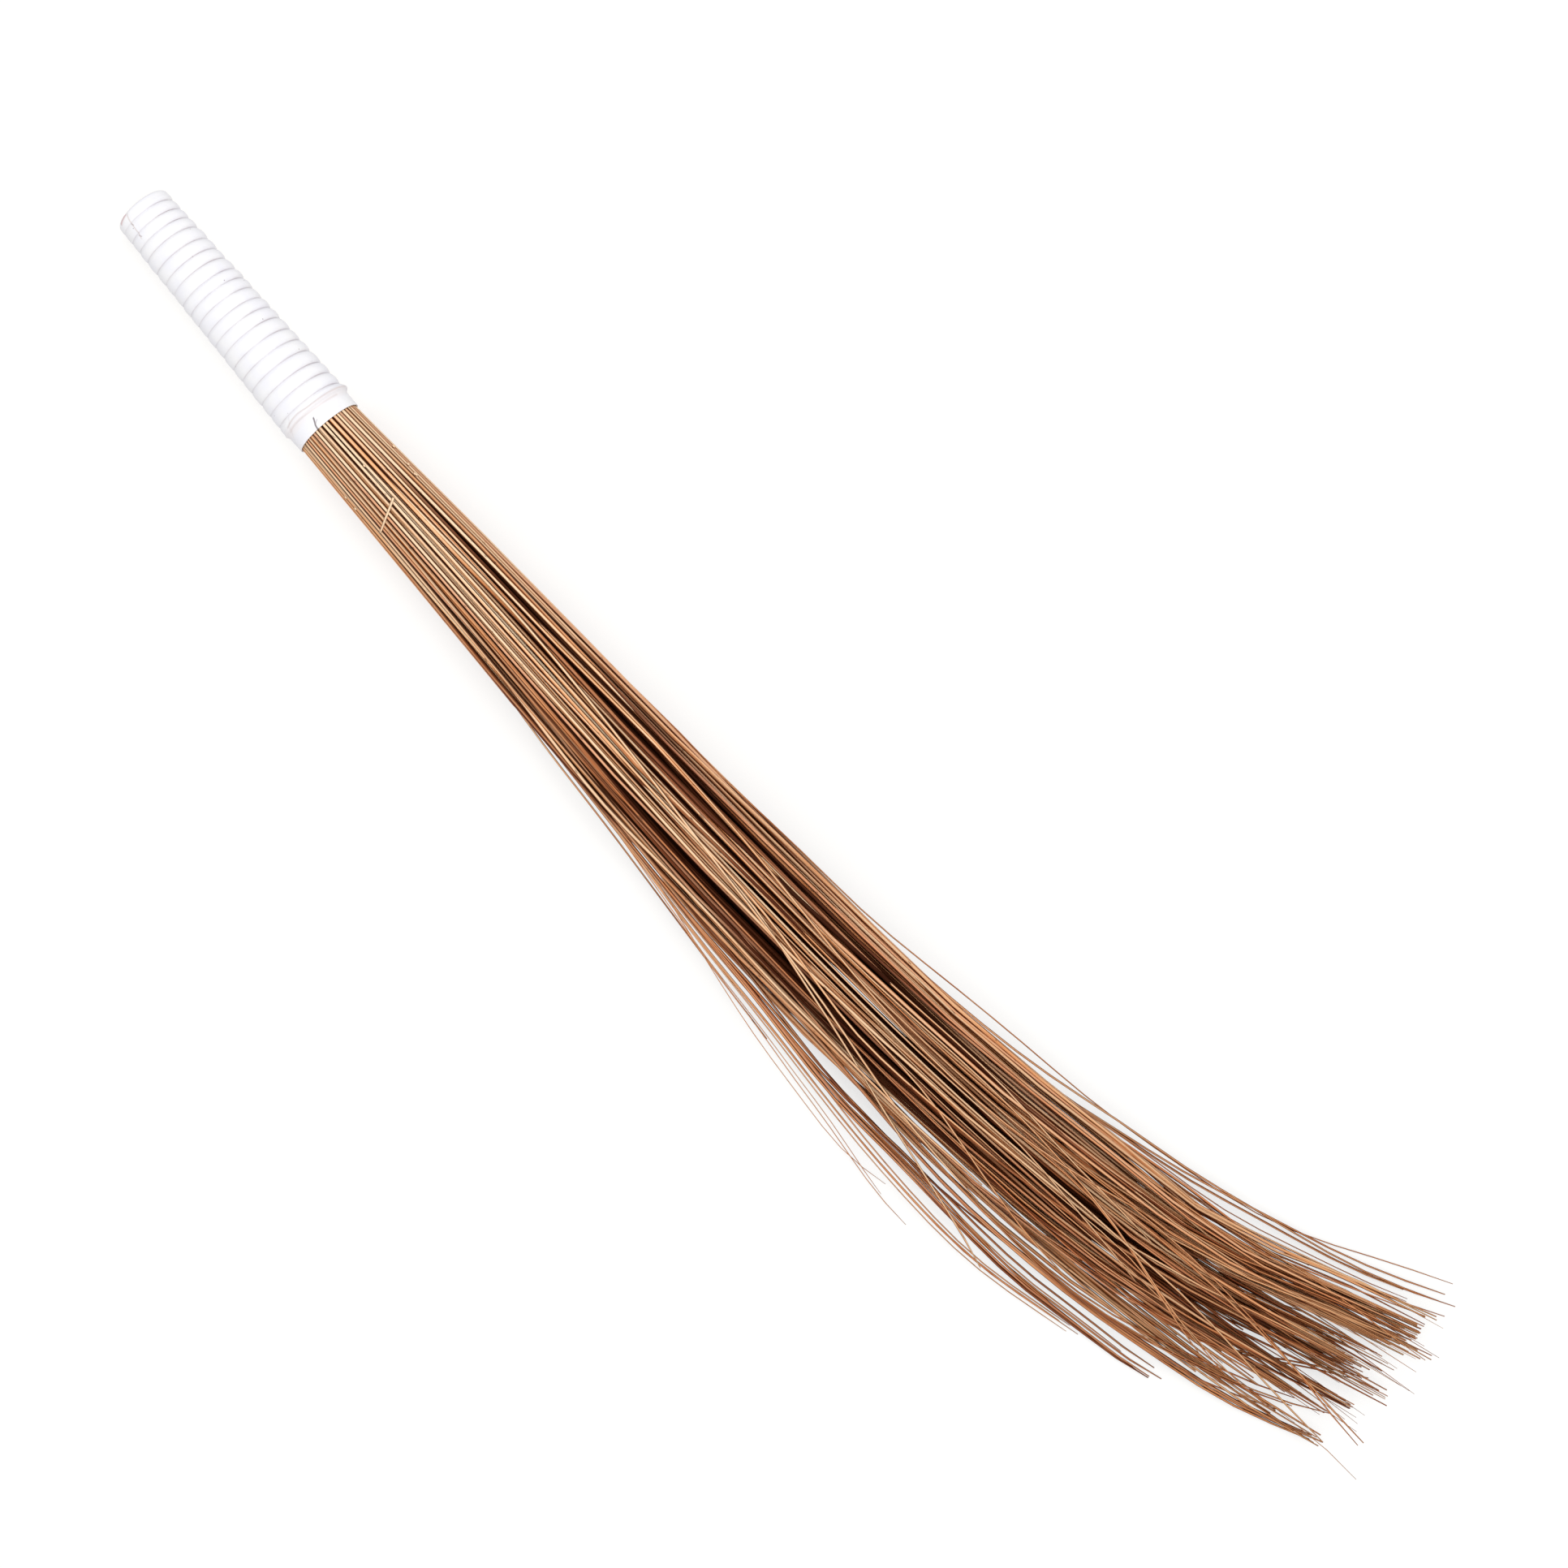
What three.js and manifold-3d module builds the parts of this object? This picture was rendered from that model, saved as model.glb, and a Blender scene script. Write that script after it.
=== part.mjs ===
// A coconut stick broom lying on the floor. Midribs of coconut palm leaves are packed into a handle, where
// wire ties, a wound cord and a shrunk film sleeve hold them, and they fan out in a swept brush to the tips.
// Millimetres. +X runs from the butt of the handle to the tips, +Z is up and the floor is Z = 0.
import * as THREE from "three";
import { mergeVertices } from "three/addons/utils/BufferGeometryUtils.js";
import Module from "manifold-3d";

// Handle: lengths along X from the butt, radii over the film
const handleLength = 161.7;
const collarLength = 9.8;
const ridgeLength = 5;
const ridgeRun = 1.4;
const buttRadius = 16.5;
const shoulderRadius = 21.3;
const collarRadius = 20.3;

// Film sleeve
const filmWall = 0.8;
const ribHeight = 0.9;
const lipRound = 1.2;
const lipReach = 4;

// Cord, flattened by the film and wound nearly edge to edge, at a pitch that grows towards the brush
const cordThickness = 2.2;
const cordGap = 0.6;
const meanPitch = 7.63;
const firstPitchShare = 0.904;

// Wire ties, twisted tight and pressed into the sticks, at shares of the handle's length
const wireRadius = 0.8;
const twistRadius = 0.95;
const twistLength = 9;
const tieShares = { tie_wire_butt: 0.14, tie_wire_middle: 0.48, tie_wire_collar: 0.82 };

// Sticks: the packed butts stand back from the film's edge, and a strand grows out of them for each stick
const packedInset = 1.5;
const strandRadius = 0.78;
const strandGap = 0.365;
const strandEmbed = 1.5;
const edgeMargin = 0.08;

// The packed butts are parted into slices, each out to this share of the rings of strands.
const sliceShares = { sticks_core: 0.25, sticks_inner: 0.45, sticks_middle: 0.7, sticks_outer: 1 };

// Brush: a flat fan, swept towards +Y
const brushLength = 811.6;
const brushHalfWidth = 47;
const brushHalfHeight = 23;
const brushSweep = 109;
const strayReach = 36;

// The fan's sections between the packed butts and the tips: each has its place along the brush, its sweep,
// its half width, its half height and its strands' radius, as shares of the full sizes.
const sectionShares = [
  { along: 0.49, sweep: 0.105, width: 0.76, height: 1, strand: 0.87 },
  { along: 0.75, sweep: 0.285, width: 1, height: 0.82, strand: 0.64 },
  { along: 1, sweep: 1, width: 0.84, height: 0.62, strand: 0 },
];

// Strands wander off their even places by up to these shares of their spacing, and stop short of the full
// length by up to this share of the last stretch. Outer strands past the stray share fan out on their own.
const wanderShares = [0.1, 0.14, 0.3];
const shortfallShare = 0.62;
const strayShare = 0.8;

// Loose sticks leave the fan at its sides and come down to the floor. Each has the angle in degrees at which
// it leaves the packed butts, its thickness as a share of a strand's, and its course in shares: along the
// brush, across it in half widths from the handle's axis, and up in half heights from the floor.
const looseSticks = [
  {
    angle: 184,
    thickness: 0.75,
    course: [[0.169, -0.472, 0.74], [0.328, -0.581, 0.43], [0.464, -0.73, 0.17], [0.516, -0.779, 0.09]],
  },
  {
    angle: 193,
    thickness: 0.45,
    course: [
      [0.169, -0.464, 0.57], [0.391, -0.628, 0.35], [0.516, -0.785, 0.2], [0.609, -0.919, 0.11],
      [0.658, -0.996, 0.07], [0.677, -0.955, 0.05],
    ],
  },
  {
    angle: 188,
    thickness: 0.75,
    course: [
      [0.169, -0.46, 0.65], [0.427, -0.564, 0.39], [0.595, -0.728, 0.13], [0.714, -0.647, 0.09],
      [0.811, -0.238, 0.08], [0.872, 0.138, 0.06],
    ],
  },
  {
    angle: 178,
    thickness: 0.9,
    course: [
      [0.169, -0.455, 0.87], [0.427, -0.521, 0.61], [0.584, -0.564, 0.3], [0.725, -0.368, 0.17],
      [0.805, -0.087, 0.11], [0.872, 0.198, 0.08],
    ],
  },
  {
    angle: 172,
    thickness: 1.1,
    course: [
      [0.169, -0.44, 1], [0.427, -0.495, 0.74], [0.601, -0.5, 0.35], [0.75, -0.213, 0.17],
      [0.853, 0.313, 0.11], [0.918, 0.632, 0.09], [0.978, 1.151, 0.07],
    ],
  },
  {
    angle: 8,
    thickness: 0.6,
    course: [
      [0.169, 0.643, 1.04], [0.431, 0.991, 0.78], [0.551, 1.264, 0.57], [0.684, 1.645, 0.43],
      [0.799, 2.151, 0.35], [0.875, 2.719, 0.22], [0.953, 3.553, 0.09],
    ],
  },
  {
    angle: 354,
    thickness: 0.8,
    course: [
      [0.169, 0.632, 0.87], [0.431, 0.966, 0.7], [0.664, 1.432, 0.57], [0.763, 1.864, 0.39],
      [0.834, 2.338, 0.3], [0.906, 2.813, 0.2], [0.963, 3.391, 0.09],
    ],
  },
];
const looseTaper = 0.5;

// Shared by all pieces
const clearance = 0.3;
const flatDepth = 0.5;
const overrun = 10;
const sides = 16;

const wasm = await Module();
wasm.setup();

const { degToRad, lerp, seededRandom } = THREE.MathUtils;
const stepAngle = (2 * Math.PI) / sides;
const firstAngle = stepAngle / 2;
const flatShare = Math.cos(stepAngle / 2);
const windingStart = lipRound;
const windingEnd = handleLength - collarLength - ridgeLength;
const windingLength = windingEnd - windingStart;
const windingTurns = Math.round(windingLength / meanPitch);
const firstPitch = (firstPitchShare * windingLength) / windingTurns;
const pitchGrowth = (2 * (windingLength / windingTurns - firstPitch)) / windingTurns;
const cordWidth = firstPitch - cordGap;
const packedEnd = handleLength - packedInset;
const packedStart = filmWall + clearance;
const packedRadius = collarRadius - filmWall - clearance;
const ringRoom = 2 * strandRadius + clearance + 2 * edgeMargin;
const ringCount = Math.floor((packedRadius - strandRadius - edgeMargin) / ringRoom);
const ringPitch = (packedRadius - strandRadius - edgeMargin) / ringCount;

const materials = {
  sticks: new THREE.MeshStandardMaterial({ color: 0xb98a5c, roughness: 0.7, metalness: 0 }),
  wire: new THREE.MeshStandardMaterial({ color: 0x8c8f94, roughness: 0.4, metalness: 1 }),
  cord: new THREE.MeshStandardMaterial({ color: 0xd9cdb8, roughness: 0.9, metalness: 0 }),
  film: new THREE.MeshStandardMaterial({ color: 0xf1f0f6, roughness: 0.35, metalness: 0 }),
};

// Radius over the film's ribs at x, on the cone from the butt to the shoulder.
function crestRadius(x) {
  return lerp(buttRadius, shoulderRadius, x / windingEnd);
}

// Height of the handle's axis at x: its ribs lie on the floor, pressed flat to the flat depth.
function axisHeight(x) {
  return crestRadius(Math.min(x, windingEnd)) * flatShare - flatDepth;
}

// Radius of the packed sticks at x, inside the film and the cord.
function bundleRadius(x) {
  const underCord = (place) => crestRadius(place) - filmWall - cordThickness - 2 * clearance;
  if (x <= windingEnd) return underCord(x);
  return lerp(underCord(windingEnd), packedRadius, (x - windingEnd) / (packedEnd - windingEnd));
}

// Distance along X that the winding has gone after so many turns.
function windingPlace(turns) {
  return firstPitch * turns + (pitchGrowth * turns * turns) / 2;
}

// The angle of corner number step. The winding climbs towards the brush as the angle falls.
function cornerAngle(step) {
  return firstAngle - step * stepAngle;
}

// A closed surface gathered corner by corner and face by face.
class Surface {
  corners = [];
  faces = [];

  // Adds a corner at a place on the handle and returns its number.
  onHandle(x, angle, radius) {
    return this.at(x, radius * Math.cos(angle), axisHeight(x) + radius * Math.sin(angle));
  }

  at(x, y, z) {
    this.corners.push(x, y, z);
    return this.corners.length / 3 - 1;
  }

  ring(x, radius) {
    return Array.from({ length: sides }, (_, step) => this.onHandle(x, cornerAngle(step), radius));
  }

  triangle(a, b, c) {
    if (a !== b && b !== c && c !== a) this.faces.push(a, b, c);
  }

  quad(a, b, c, d) {
    this.triangle(a, b, c);
    this.triangle(a, c, d);
  }

  // Joins two rings of as many corners. Its faces look away from the axis when ring one lies towards +X.
  bridge(one, two) {
    one.forEach((corner, i) => {
      const next = (i + 1) % one.length;
      this.quad(corner, one[next], two[next], two[i]);
    });
  }

  geometry() {
    const made = new THREE.BufferGeometry();
    made.setAttribute("position", new THREE.Float32BufferAttribute(this.corners, 3));
    made.setIndex(this.faces);
    return made;
  }
}

// A body turned about the handle's axis from a profile of [x, radius] that closes on itself, with the
// material on the right of a walk along it. Where its ends have no radius, it is closed on the axis.
function turned(profile) {
  const surface = new Surface();
  const onAxis = profile[0][1] === 0;
  const rings = profile.filter(([, radius]) => radius > 0).map(([x, radius]) => surface.ring(x, radius));
  rings.slice(1).forEach((ring, i) => surface.bridge(ring, rings[i]));
  const first = rings[0];
  const last = rings[rings.length - 1];
  if (!onAxis) {
    surface.bridge(first, last);
    return surface.geometry();
  }
  const start = surface.onHandle(profile[0][0], 0, 0);
  const end = surface.onHandle(profile[profile.length - 1][0], 0, 0);
  first.forEach((corner, i) => {
    const next = (i + 1) % sides;
    surface.triangle(start, corner, first[next]);
    surface.triangle(end, last[next], last[i]);
  });
  return surface.geometry();
}

function solidOf(geometry) {
  const bare = geometry.clone();
  bare.deleteAttribute("normal");
  bare.deleteAttribute("uv");
  const merged = mergeVertices(bare);
  return new wasm.Manifold(
    new wasm.Mesh({
      numProp: 3,
      vertProperties: merged.attributes.position.array,
      triVerts: new Uint32Array(merged.index.array),
    }),
  );
}

function geometryOf(solid) {
  const { vertProperties, triVerts } = solid.getMesh();
  const made = new THREE.BufferGeometry();
  made.setAttribute("position", new THREE.BufferAttribute(new Float32Array(vertProperties), 3));
  made.setIndex(new THREE.BufferAttribute(new Uint32Array(triVerts), 1));
  made.computeVertexNormals();
  return made;
}

// Everything under the floor, which the pieces that lie on it are cut by.
function underFloor() {
  const length = handleLength + brushLength + 2 * overrun;
  const width = 2 * (brushSweep + brushHalfWidth + strayReach + overrun);
  const box = new THREE.BoxGeometry(length, width, overrun);
  box.translate(length / 2 - overrun, 0, -overrun / 2);
  return solidOf(box);
}

// One face of the film, as far in from its outer face as the depth. Its ribs climb in one spiral: a groove
// line, a crest line half a turn ahead of it, and the groove line's next turn. A wedge without a rib evens
// out the spiral at each end. Returns the plain rings that it starts and ends with.
function ribbedFace(surface, depth, outward) {
  const steps = windingTurns * sides;
  const face = (...corners) => surface.quad(...(outward ? corners.reverse() : corners));
  const next = (step) => (step + 1) % sides;
  const corner = (step, shift, lift) => {
    const x = windingStart + windingPlace(step / sides + shift);
    return surface.onHandle(x, cornerAngle(step), crestRadius(x) - ribHeight + lift - depth);
  };
  const groove = Array.from({ length: steps + 1 }, (_, step) => corner(step, 0, 0));
  const crest = Array.from({ length: steps - sides + 1 }, (_, step) => corner(step, 1 / 2, ribHeight));
  const level = (x) => (step) =>
    surface.onHandle(x, cornerAngle(step), crestRadius(x) - ribHeight - depth);
  const ringSteps = Array.from({ length: sides }, (_, step) => step);
  const start = [groove[0], ...ringSteps.slice(1).map(level(windingStart))];
  const end = [groove[steps], ...ringSteps.slice(1).map(level(windingEnd))];
  for (let step = 0; step < sides; step++) {
    face(start[step], start[next(step)], groove[step + 1], groove[step]);
    const last = steps - sides + step;
    face(groove[last], groove[last + 1], end[next(step)], end[step]);
  }
  for (let step = 0; step < steps - sides; step++) {
    face(groove[step], groove[step + 1], crest[step + 1], crest[step]);
    face(crest[step], crest[step + 1], groove[step + sides + 1], groove[step + sides]);
  }
  face(groove[0], groove[0], crest[0], groove[sides]);
  const lastCrest = crest[steps - sides];
  face(groove[steps - sides], groove[steps], groove[steps], lastCrest);
  return { start, end };
}

// The film: ribs over the cord, a lip turned over the butt, a ridge and a smooth collar at the brush.
function shrinkSleeve() {
  const surface = new Surface();
  const outer = ribbedFace(surface, 0, true);
  const inner = ribbedFace(surface, filmWall, false);
  const ridgePlace = windingEnd + ridgeLength - ridgeRun;
  const collarPlace = windingEnd + ridgeLength;
  const lipOuter = surface.ring(0, buttRadius - ribHeight - lipRound);
  const holeOuter = surface.ring(0, buttRadius - lipReach - lipRound);
  const holeInner = surface.ring(filmWall, buttRadius - lipReach - lipRound);
  const lipInner = surface.ring(filmWall, buttRadius - ribHeight - lipRound);
  const walk = [
    inner.end,
    surface.ring(ridgePlace, shoulderRadius - filmWall),
    surface.ring(collarPlace, collarRadius - filmWall),
    surface.ring(handleLength, collarRadius - filmWall),
    surface.ring(handleLength, collarRadius),
    surface.ring(collarPlace, collarRadius),
    surface.ring(ridgePlace, shoulderRadius),
    outer.end,
  ];
  walk.slice(1).forEach((ring, i) => surface.bridge(walk[i], ring));
  const lip = [outer.start, lipOuter, holeOuter, holeInner, lipInner, inner.start];
  lip.slice(1).forEach((ring, i) => surface.bridge(lip[i], ring));
  return solidOf(surface.geometry()).subtract(underFloor());
}

// The corners of the cord's section as [along X, outwards] from its middle: a flat underside, a low ridge.
function cordSection() {
  const half = cordWidth / 2;
  const top = cordThickness / 2;
  return [
    [-half, -top],
    [half, -top],
    [half, top - ribHeight],
    [0, top],
    [-half, top - ribHeight],
  ];
}

// The places that the cord's middle passes, one for each step round the handle.
function cordMiddles() {
  const steps = (windingTurns - 1) * sides;
  const depth = filmWall + clearance + cordThickness / 2;
  return Array.from({ length: steps + 1 }, (_, step) => {
    const x = windingStart + windingPlace(step / sides + 1 / 2);
    return { x, angle: cornerAngle(step), radius: crestRadius(x) - depth };
  });
}

// The cord: one unbroken tube of many turns under the film.
function gripCord() {
  const surface = new Surface();
  const section = cordSection();
  const rings = cordMiddles().map(({ x, angle, radius }) =>
    section.map(([along, out]) => surface.onHandle(x + along, angle, radius + out)),
  );
  rings.slice(1).forEach((ring, i) => surface.bridge(ring, rings[i]));
  const cap = (ring) => ring.slice(2).forEach((corner, i) => surface.triangle(ring[0], ring[i + 1], corner));
  cap(rings[0]);
  cap([...rings[rings.length - 1]].reverse());
  return solidOf(surface.geometry());
}

// The least gap between one turn of the cord and the next, measured between the corners of their sections.
function leastCordGap() {
  const half = cordWidth / 2;
  const middles = cordMiddles();
  const gaps = middles.slice(sides).map((later, step) => {
    const earlier = middles[step];
    return Math.hypot(later.x - half - (earlier.x + half), later.radius - earlier.radius);
  });
  return Math.min(...gaps);
}

// A tie: a ring of wire pressed into the sticks, with its twisted ends laid along them at the underside.
function tieWire(place) {
  const middle = bundleRadius(place) - wireRadius;
  const corners = 6;
  const profile = Array.from({ length: corners }, (_, i) => {
    const angle = (-2 * Math.PI * i) / corners;
    return [place + wireRadius * Math.cos(angle), middle + wireRadius * Math.sin(angle)];
  });
  return solidOf(turned(profile)).add(twist(place, twistRadius, twistLength));
}

// The twisted ends of a tie, or the pocket that they lie in.
function twist(place, radius, length) {
  const rod = new THREE.CylinderGeometry(radius, radius, length, sides / 2);
  rod.rotateZ(Math.PI / 2);
  rod.translate(place + length / 2, 0, axisHeight(place) - bundleRadius(place) * flatShare + twistRadius);
  return solidOf(rod);
}

// The channel and the pocket that a tie lies in.
function tieSeat(place) {
  const half = wireRadius + clearance;
  const deep = bundleRadius(place) - 2 * wireRadius - clearance;
  const channel = turned([
    [place - half, deep],
    [place - half, deep + overrun],
    [place + half, deep + overrun],
    [place + half, deep],
  ]);
  const pocket = twist(place, twistRadius + clearance, twistLength + clearance);
  return solidOf(channel).add(pocket);
}

// The radius at which the packed butts part, half way between two rings of strands, at x.
function partingRadius(ring, x) {
  return (bundleRadius(x) * (ring + 1 / 2) * ringPitch) / packedRadius;
}

// The packed butts from one ring of sticks to another.
function packedSlice(firstRing, lastRing) {
  const places = [packedStart, windingEnd, packedEnd];
  const outside = (x) =>
    lastRing === ringCount ? bundleRadius(x) : partingRadius(lastRing, x) - clearance / 2;
  const inside = (x) => (firstRing === 0 ? 0 : partingRadius(firstRing - 1, x) + clearance / 2);
  const outer = places.map((x) => [x, outside(x)]);
  if (firstRing === 0) return solidOf(turned([[packedStart, 0], ...outer, [packedEnd, 0]]));
  const inner = places.map((x) => [x, inside(x)]);
  return solidOf(turned([...outer, ...inner.reverse()]));
}

// The places of a ring's strands in the packed butts, as a share of the outermost ring and an angle.
function strandPlaces(ring) {
  const round = 2 * Math.PI * ring * ringPitch;
  const count = Math.max(1, Math.round(round / (2 * strandRadius + strandGap)));
  return Array.from({ length: count }, (_, i) => ({
    share: ring / ringCount,
    angle: (2 * Math.PI * (i + (ring % 2) / 2)) / count,
  }));
}

// How far a strand at this share of the half width stands out: past the stray share it fans out on its own.
function spread(across, width, along) {
  const past = Math.max(0, (across - strayShare) / (1 - strayShare));
  return width * across + strayReach * along ** 4 * past ** 3;
}

// Where a strand starts, inside the end of the packed butts.
function strandRoot({ share, angle }) {
  const off = angle - firstAngle;
  const corner = off - stepAngle * Math.floor(off / stepAngle) - stepAngle / 2;
  const packed = (ringCount * ringPitch * share * flatShare) / Math.cos(corner);
  return new THREE.Vector3(
    packedEnd - strandEmbed,
    packed * Math.cos(angle),
    axisHeight(packedEnd) + packed * Math.sin(angle),
  );
}

// The middle of a strand at each section of the brush, from the packed butts to its tip.
function strandCourse({ share, angle }) {
  const course = [strandRoot({ share, angle })];
  sectionShares.forEach(({ along, sweep, width, height, strand }, i) => {
    const halfWidth = brushHalfWidth * width;
    const halfHeight = brushHalfHeight * height;
    const wander = wanderShares[i] / ringCount;
    const across = share * Math.cos(angle) + wander * (2 * seededRandom() - 1);
    const up = share * Math.sin(angle) + (wander / 2) * (2 * seededRandom() - 1);
    const lift = i === 0 ? (strandRadius * strand) / 2 - flatDepth : strandRadius;
    course.push(
      new THREE.Vector3(
        packedEnd + (brushLength - packedInset) * along,
        brushSweep * sweep + spread(across, halfWidth, along),
        lift + halfHeight * (1 + up),
      ),
    );
  });
  const tip = course.pop();
  const shortfall = shortfallShare * seededRandom() ** 2;
  course.push(tip.lerp(course[course.length - 1], shortfall));
  return course;
}

// Adds a strand of three sides to a surface, tapering to a point at its tip. It has one share of the
// strands' radius for each place on its course.
function addStrand(surface, course, shares) {
  const radii = shares.map((share) => share * strandRadius);
  const tip = surface.at(...course[course.length - 1]);
  const rings = course.slice(0, -1).map(({ x, y, z }, i) =>
    [0, 1, 2].map((corner) => {
      const angle = Math.PI / 2 - (2 * Math.PI * corner) / 3;
      return surface.at(x, y + radii[i] * Math.cos(angle), z + radii[i] * Math.sin(angle));
    }),
  );
  rings.slice(1).forEach((ring, i) => surface.bridge(ring, rings[i]));
  surface.triangle(...rings[0]);
  const last = rings[rings.length - 1];
  last.forEach((corner, i) => surface.triangle(last[(i + 1) % last.length], corner, tip));
}

// A loose stick, from the packed butts past the fan's side to the floor.
function looseStick({ angle, thickness, course }) {
  const places = course.map(([along, across, up]) => {
    const x = packedEnd + (brushLength - packedInset) * along;
    return new THREE.Vector3(x, brushHalfWidth * across, brushHalfHeight * up);
  });
  const root = strandRoot({ share: 1, angle: degToRad(angle) });
  const shares = [root, ...places].map((_, i) => thickness * lerp(1, looseTaper, i / places.length));
  const surface = new Surface();
  addStrand(surface, [root, ...places], shares);
  return solidOf(surface.geometry());
}

// Some of the sticks: a slice of the packed butts with the strands that grow out of it.
function sticks(firstRing, lastRing) {
  const surface = new Surface();
  const strandShares = [1, ...sectionShares.map(({ strand }) => strand)];
  for (let ring = firstRing; ring <= lastRing; ring++) {
    seededRandom(ring + 1);
    strandPlaces(ring).forEach((place) => addStrand(surface, strandCourse(place), strandShares));
  }
  let made = packedSlice(firstRing, lastRing).add(solidOf(surface.geometry()));
  if (lastRing === ringCount) {
    Object.values(tieShares).forEach((share) => {
      made = made.subtract(tieSeat(share * handleLength));
    });
    looseSticks.forEach((stick) => {
      made = made.add(looseStick(stick));
    });
    made = made.subtract(underFloor());
  }
  return made;
}

const broom = new THREE.Group();

function addPiece(name, solid, material) {
  const piece = new THREE.Mesh(geometryOf(solid), material);
  piece.name = name;
  broom.add(piece);
}

let firstRing = 0;
Object.entries(sliceShares).forEach(([name, share]) => {
  const lastRing = Math.round(share * ringCount);
  addPiece(name, sticks(firstRing, lastRing), materials.sticks);
  firstRing = lastRing + 1;
});
Object.entries(tieShares).forEach(([name, share]) => {
  addPiece(name, tieWire(share * handleLength), materials.wire);
});
addPiece("grip_cord", gripCord(), materials.cord);
addPiece("shrink_sleeve", shrinkSleeve(), materials.film);
console.log("least gap between turns of the cord: " + leastCordGap().toFixed(2) + " mm");

// The origin lies on the floor under the middle of the broom.
const middle = new THREE.Box3().setFromObject(broom).getCenter(new THREE.Vector3());
broom.position.set(-middle.x, -middle.y, 0);

export default broom;
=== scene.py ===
"""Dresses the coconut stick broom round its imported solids, as it lies on a pale floor."""

from __future__ import annotations

import logging
import math
from collections.abc import Sequence
from dataclasses import dataclass, field
from enum import Enum

import bmesh
import bpy
import numpy as np
from mathutils import Matrix, Vector


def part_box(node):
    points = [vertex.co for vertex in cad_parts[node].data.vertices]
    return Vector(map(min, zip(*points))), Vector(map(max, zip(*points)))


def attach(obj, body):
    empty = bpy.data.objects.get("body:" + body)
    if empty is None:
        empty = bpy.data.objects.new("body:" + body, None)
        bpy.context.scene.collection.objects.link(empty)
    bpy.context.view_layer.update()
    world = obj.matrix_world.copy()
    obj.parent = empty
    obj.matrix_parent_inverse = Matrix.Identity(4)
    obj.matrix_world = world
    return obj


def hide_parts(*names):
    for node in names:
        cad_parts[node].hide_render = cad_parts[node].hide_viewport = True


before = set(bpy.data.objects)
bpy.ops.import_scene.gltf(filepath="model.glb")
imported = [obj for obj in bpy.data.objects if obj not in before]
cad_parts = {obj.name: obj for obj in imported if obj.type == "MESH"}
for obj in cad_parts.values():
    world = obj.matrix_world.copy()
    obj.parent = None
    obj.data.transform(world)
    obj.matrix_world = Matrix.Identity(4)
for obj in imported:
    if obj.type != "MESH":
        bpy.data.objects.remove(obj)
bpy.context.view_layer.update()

LOG = logging.getLogger("broom")
BODY = "root"
MM = 0.001
FULL_TURN = 2 * math.pi
UP = np.array([0.0, 0.0, 1.0])
FLOOR_GAP = 0.02
WHITE = (1.0, 1.0, 1.0, 1.0)
TIES = ("tie_wire_butt", "tie_wire_middle", "tie_wire_collar")
SLEEVE_LOW, SLEEVE_HIGH = (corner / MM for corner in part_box("shrink_sleeve"))

Amount = np.ndarray | float
Rng = np.random.Generator
Socket = bpy.types.NodeSocket
Colour = tuple[int, int, int]
Pair = tuple[float, float]
Triple = tuple[float, float, float]
Floats = tuple[float, ...]
Span = tuple[float, float, float, float]
Knots = tuple[Pair, ...]


class Slot(Enum):
    """The record's material slots."""

    STICKS = "sticks"
    WIRE = "wire"
    CORD = "cord"
    FILM = "film"


class Layer(Enum):
    """The four layers of packed sticks, by the node that each stands for."""

    CORE = "sticks_core"
    INNER = "sticks_inner"
    MIDDLE = "sticks_middle"
    OUTER = "sticks_outer"


def linear(red: int, green: int, blue: int) -> tuple[float, float, float, float]:
    """Turns a colour as seen on a screen, in parts from 0 to 255, into the linear values that a shader takes."""
    shares = [value / 255 for value in (red, green, blue)]
    bent = [s / 12.92 if s <= 0.04045 else ((s + 0.055) / 1.055) ** 2.4 for s in shares]
    return (bent[0], bent[1], bent[2], 1.0)


def smooth(share: Amount) -> Amount:
    """Eases a share from 0 to 1 with level ends."""
    held = np.clip(share, 0, 1)
    return held * held * (3 - 2 * held)


def bell(place: np.ndarray, middle: float, width: float) -> np.ndarray:
    """Rises to 1 at a middle and fades out a few widths away from it."""
    return np.exp(-(((place - middle) / width) ** 2))


def unit(rows: np.ndarray, least: float = 1e-6) -> np.ndarray:
    """Brings each row to a length of 1, but for a row that is nearly nothing."""
    return rows / np.maximum(np.linalg.norm(rows, axis=1), least)[:, None]


def lengths_along(line: np.ndarray) -> np.ndarray:
    """Measures how far along a line each of its points is."""
    return np.concatenate([[0], np.cumsum(np.linalg.norm(np.diff(line, axis=0), axis=1))])


def through(knots: np.ndarray, rows: int) -> np.ndarray:
    """Draws one smooth line through the knots, with its points evenly spread along the knots' count."""
    padded = np.vstack([2 * knots[0] - knots[1], knots, 2 * knots[-1] - knots[-2]])
    place = np.linspace(0, len(knots) - 1, rows)
    start = np.minimum(place.astype(int), len(knots) - 2)
    part = (place - start)[:, None]
    a, b, c, d = (padded[start + step] for step in range(4))
    return 0.5 * (
        2 * b
        + (c - a) * part
        + (2 * a - 5 * b + 4 * c - d) * part**2
        + (3 * b - a - 3 * c + d) * part**3
    )


def evenly(knots: np.ndarray, rows: int, rounds: int = 60, fine: int = 241) -> np.ndarray:
    """Draws one smooth line through the knots, eased for some rounds, with its points evenly spread."""
    raw = through(knots, 20 * len(knots))
    for step in (fine, rows):
        lengths = lengths_along(raw)
        places = np.linspace(0, lengths[-1], step)
        raw = np.stack([np.interp(places, lengths, raw[:, axis]) for axis in range(3)], 1)
        if step == fine:
            for _ in range(rounds):
                raw[1:-1] = (raw[:-2] + 2 * raw[1:-1] + raw[2:]) / 4
    return raw


# Materials


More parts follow.
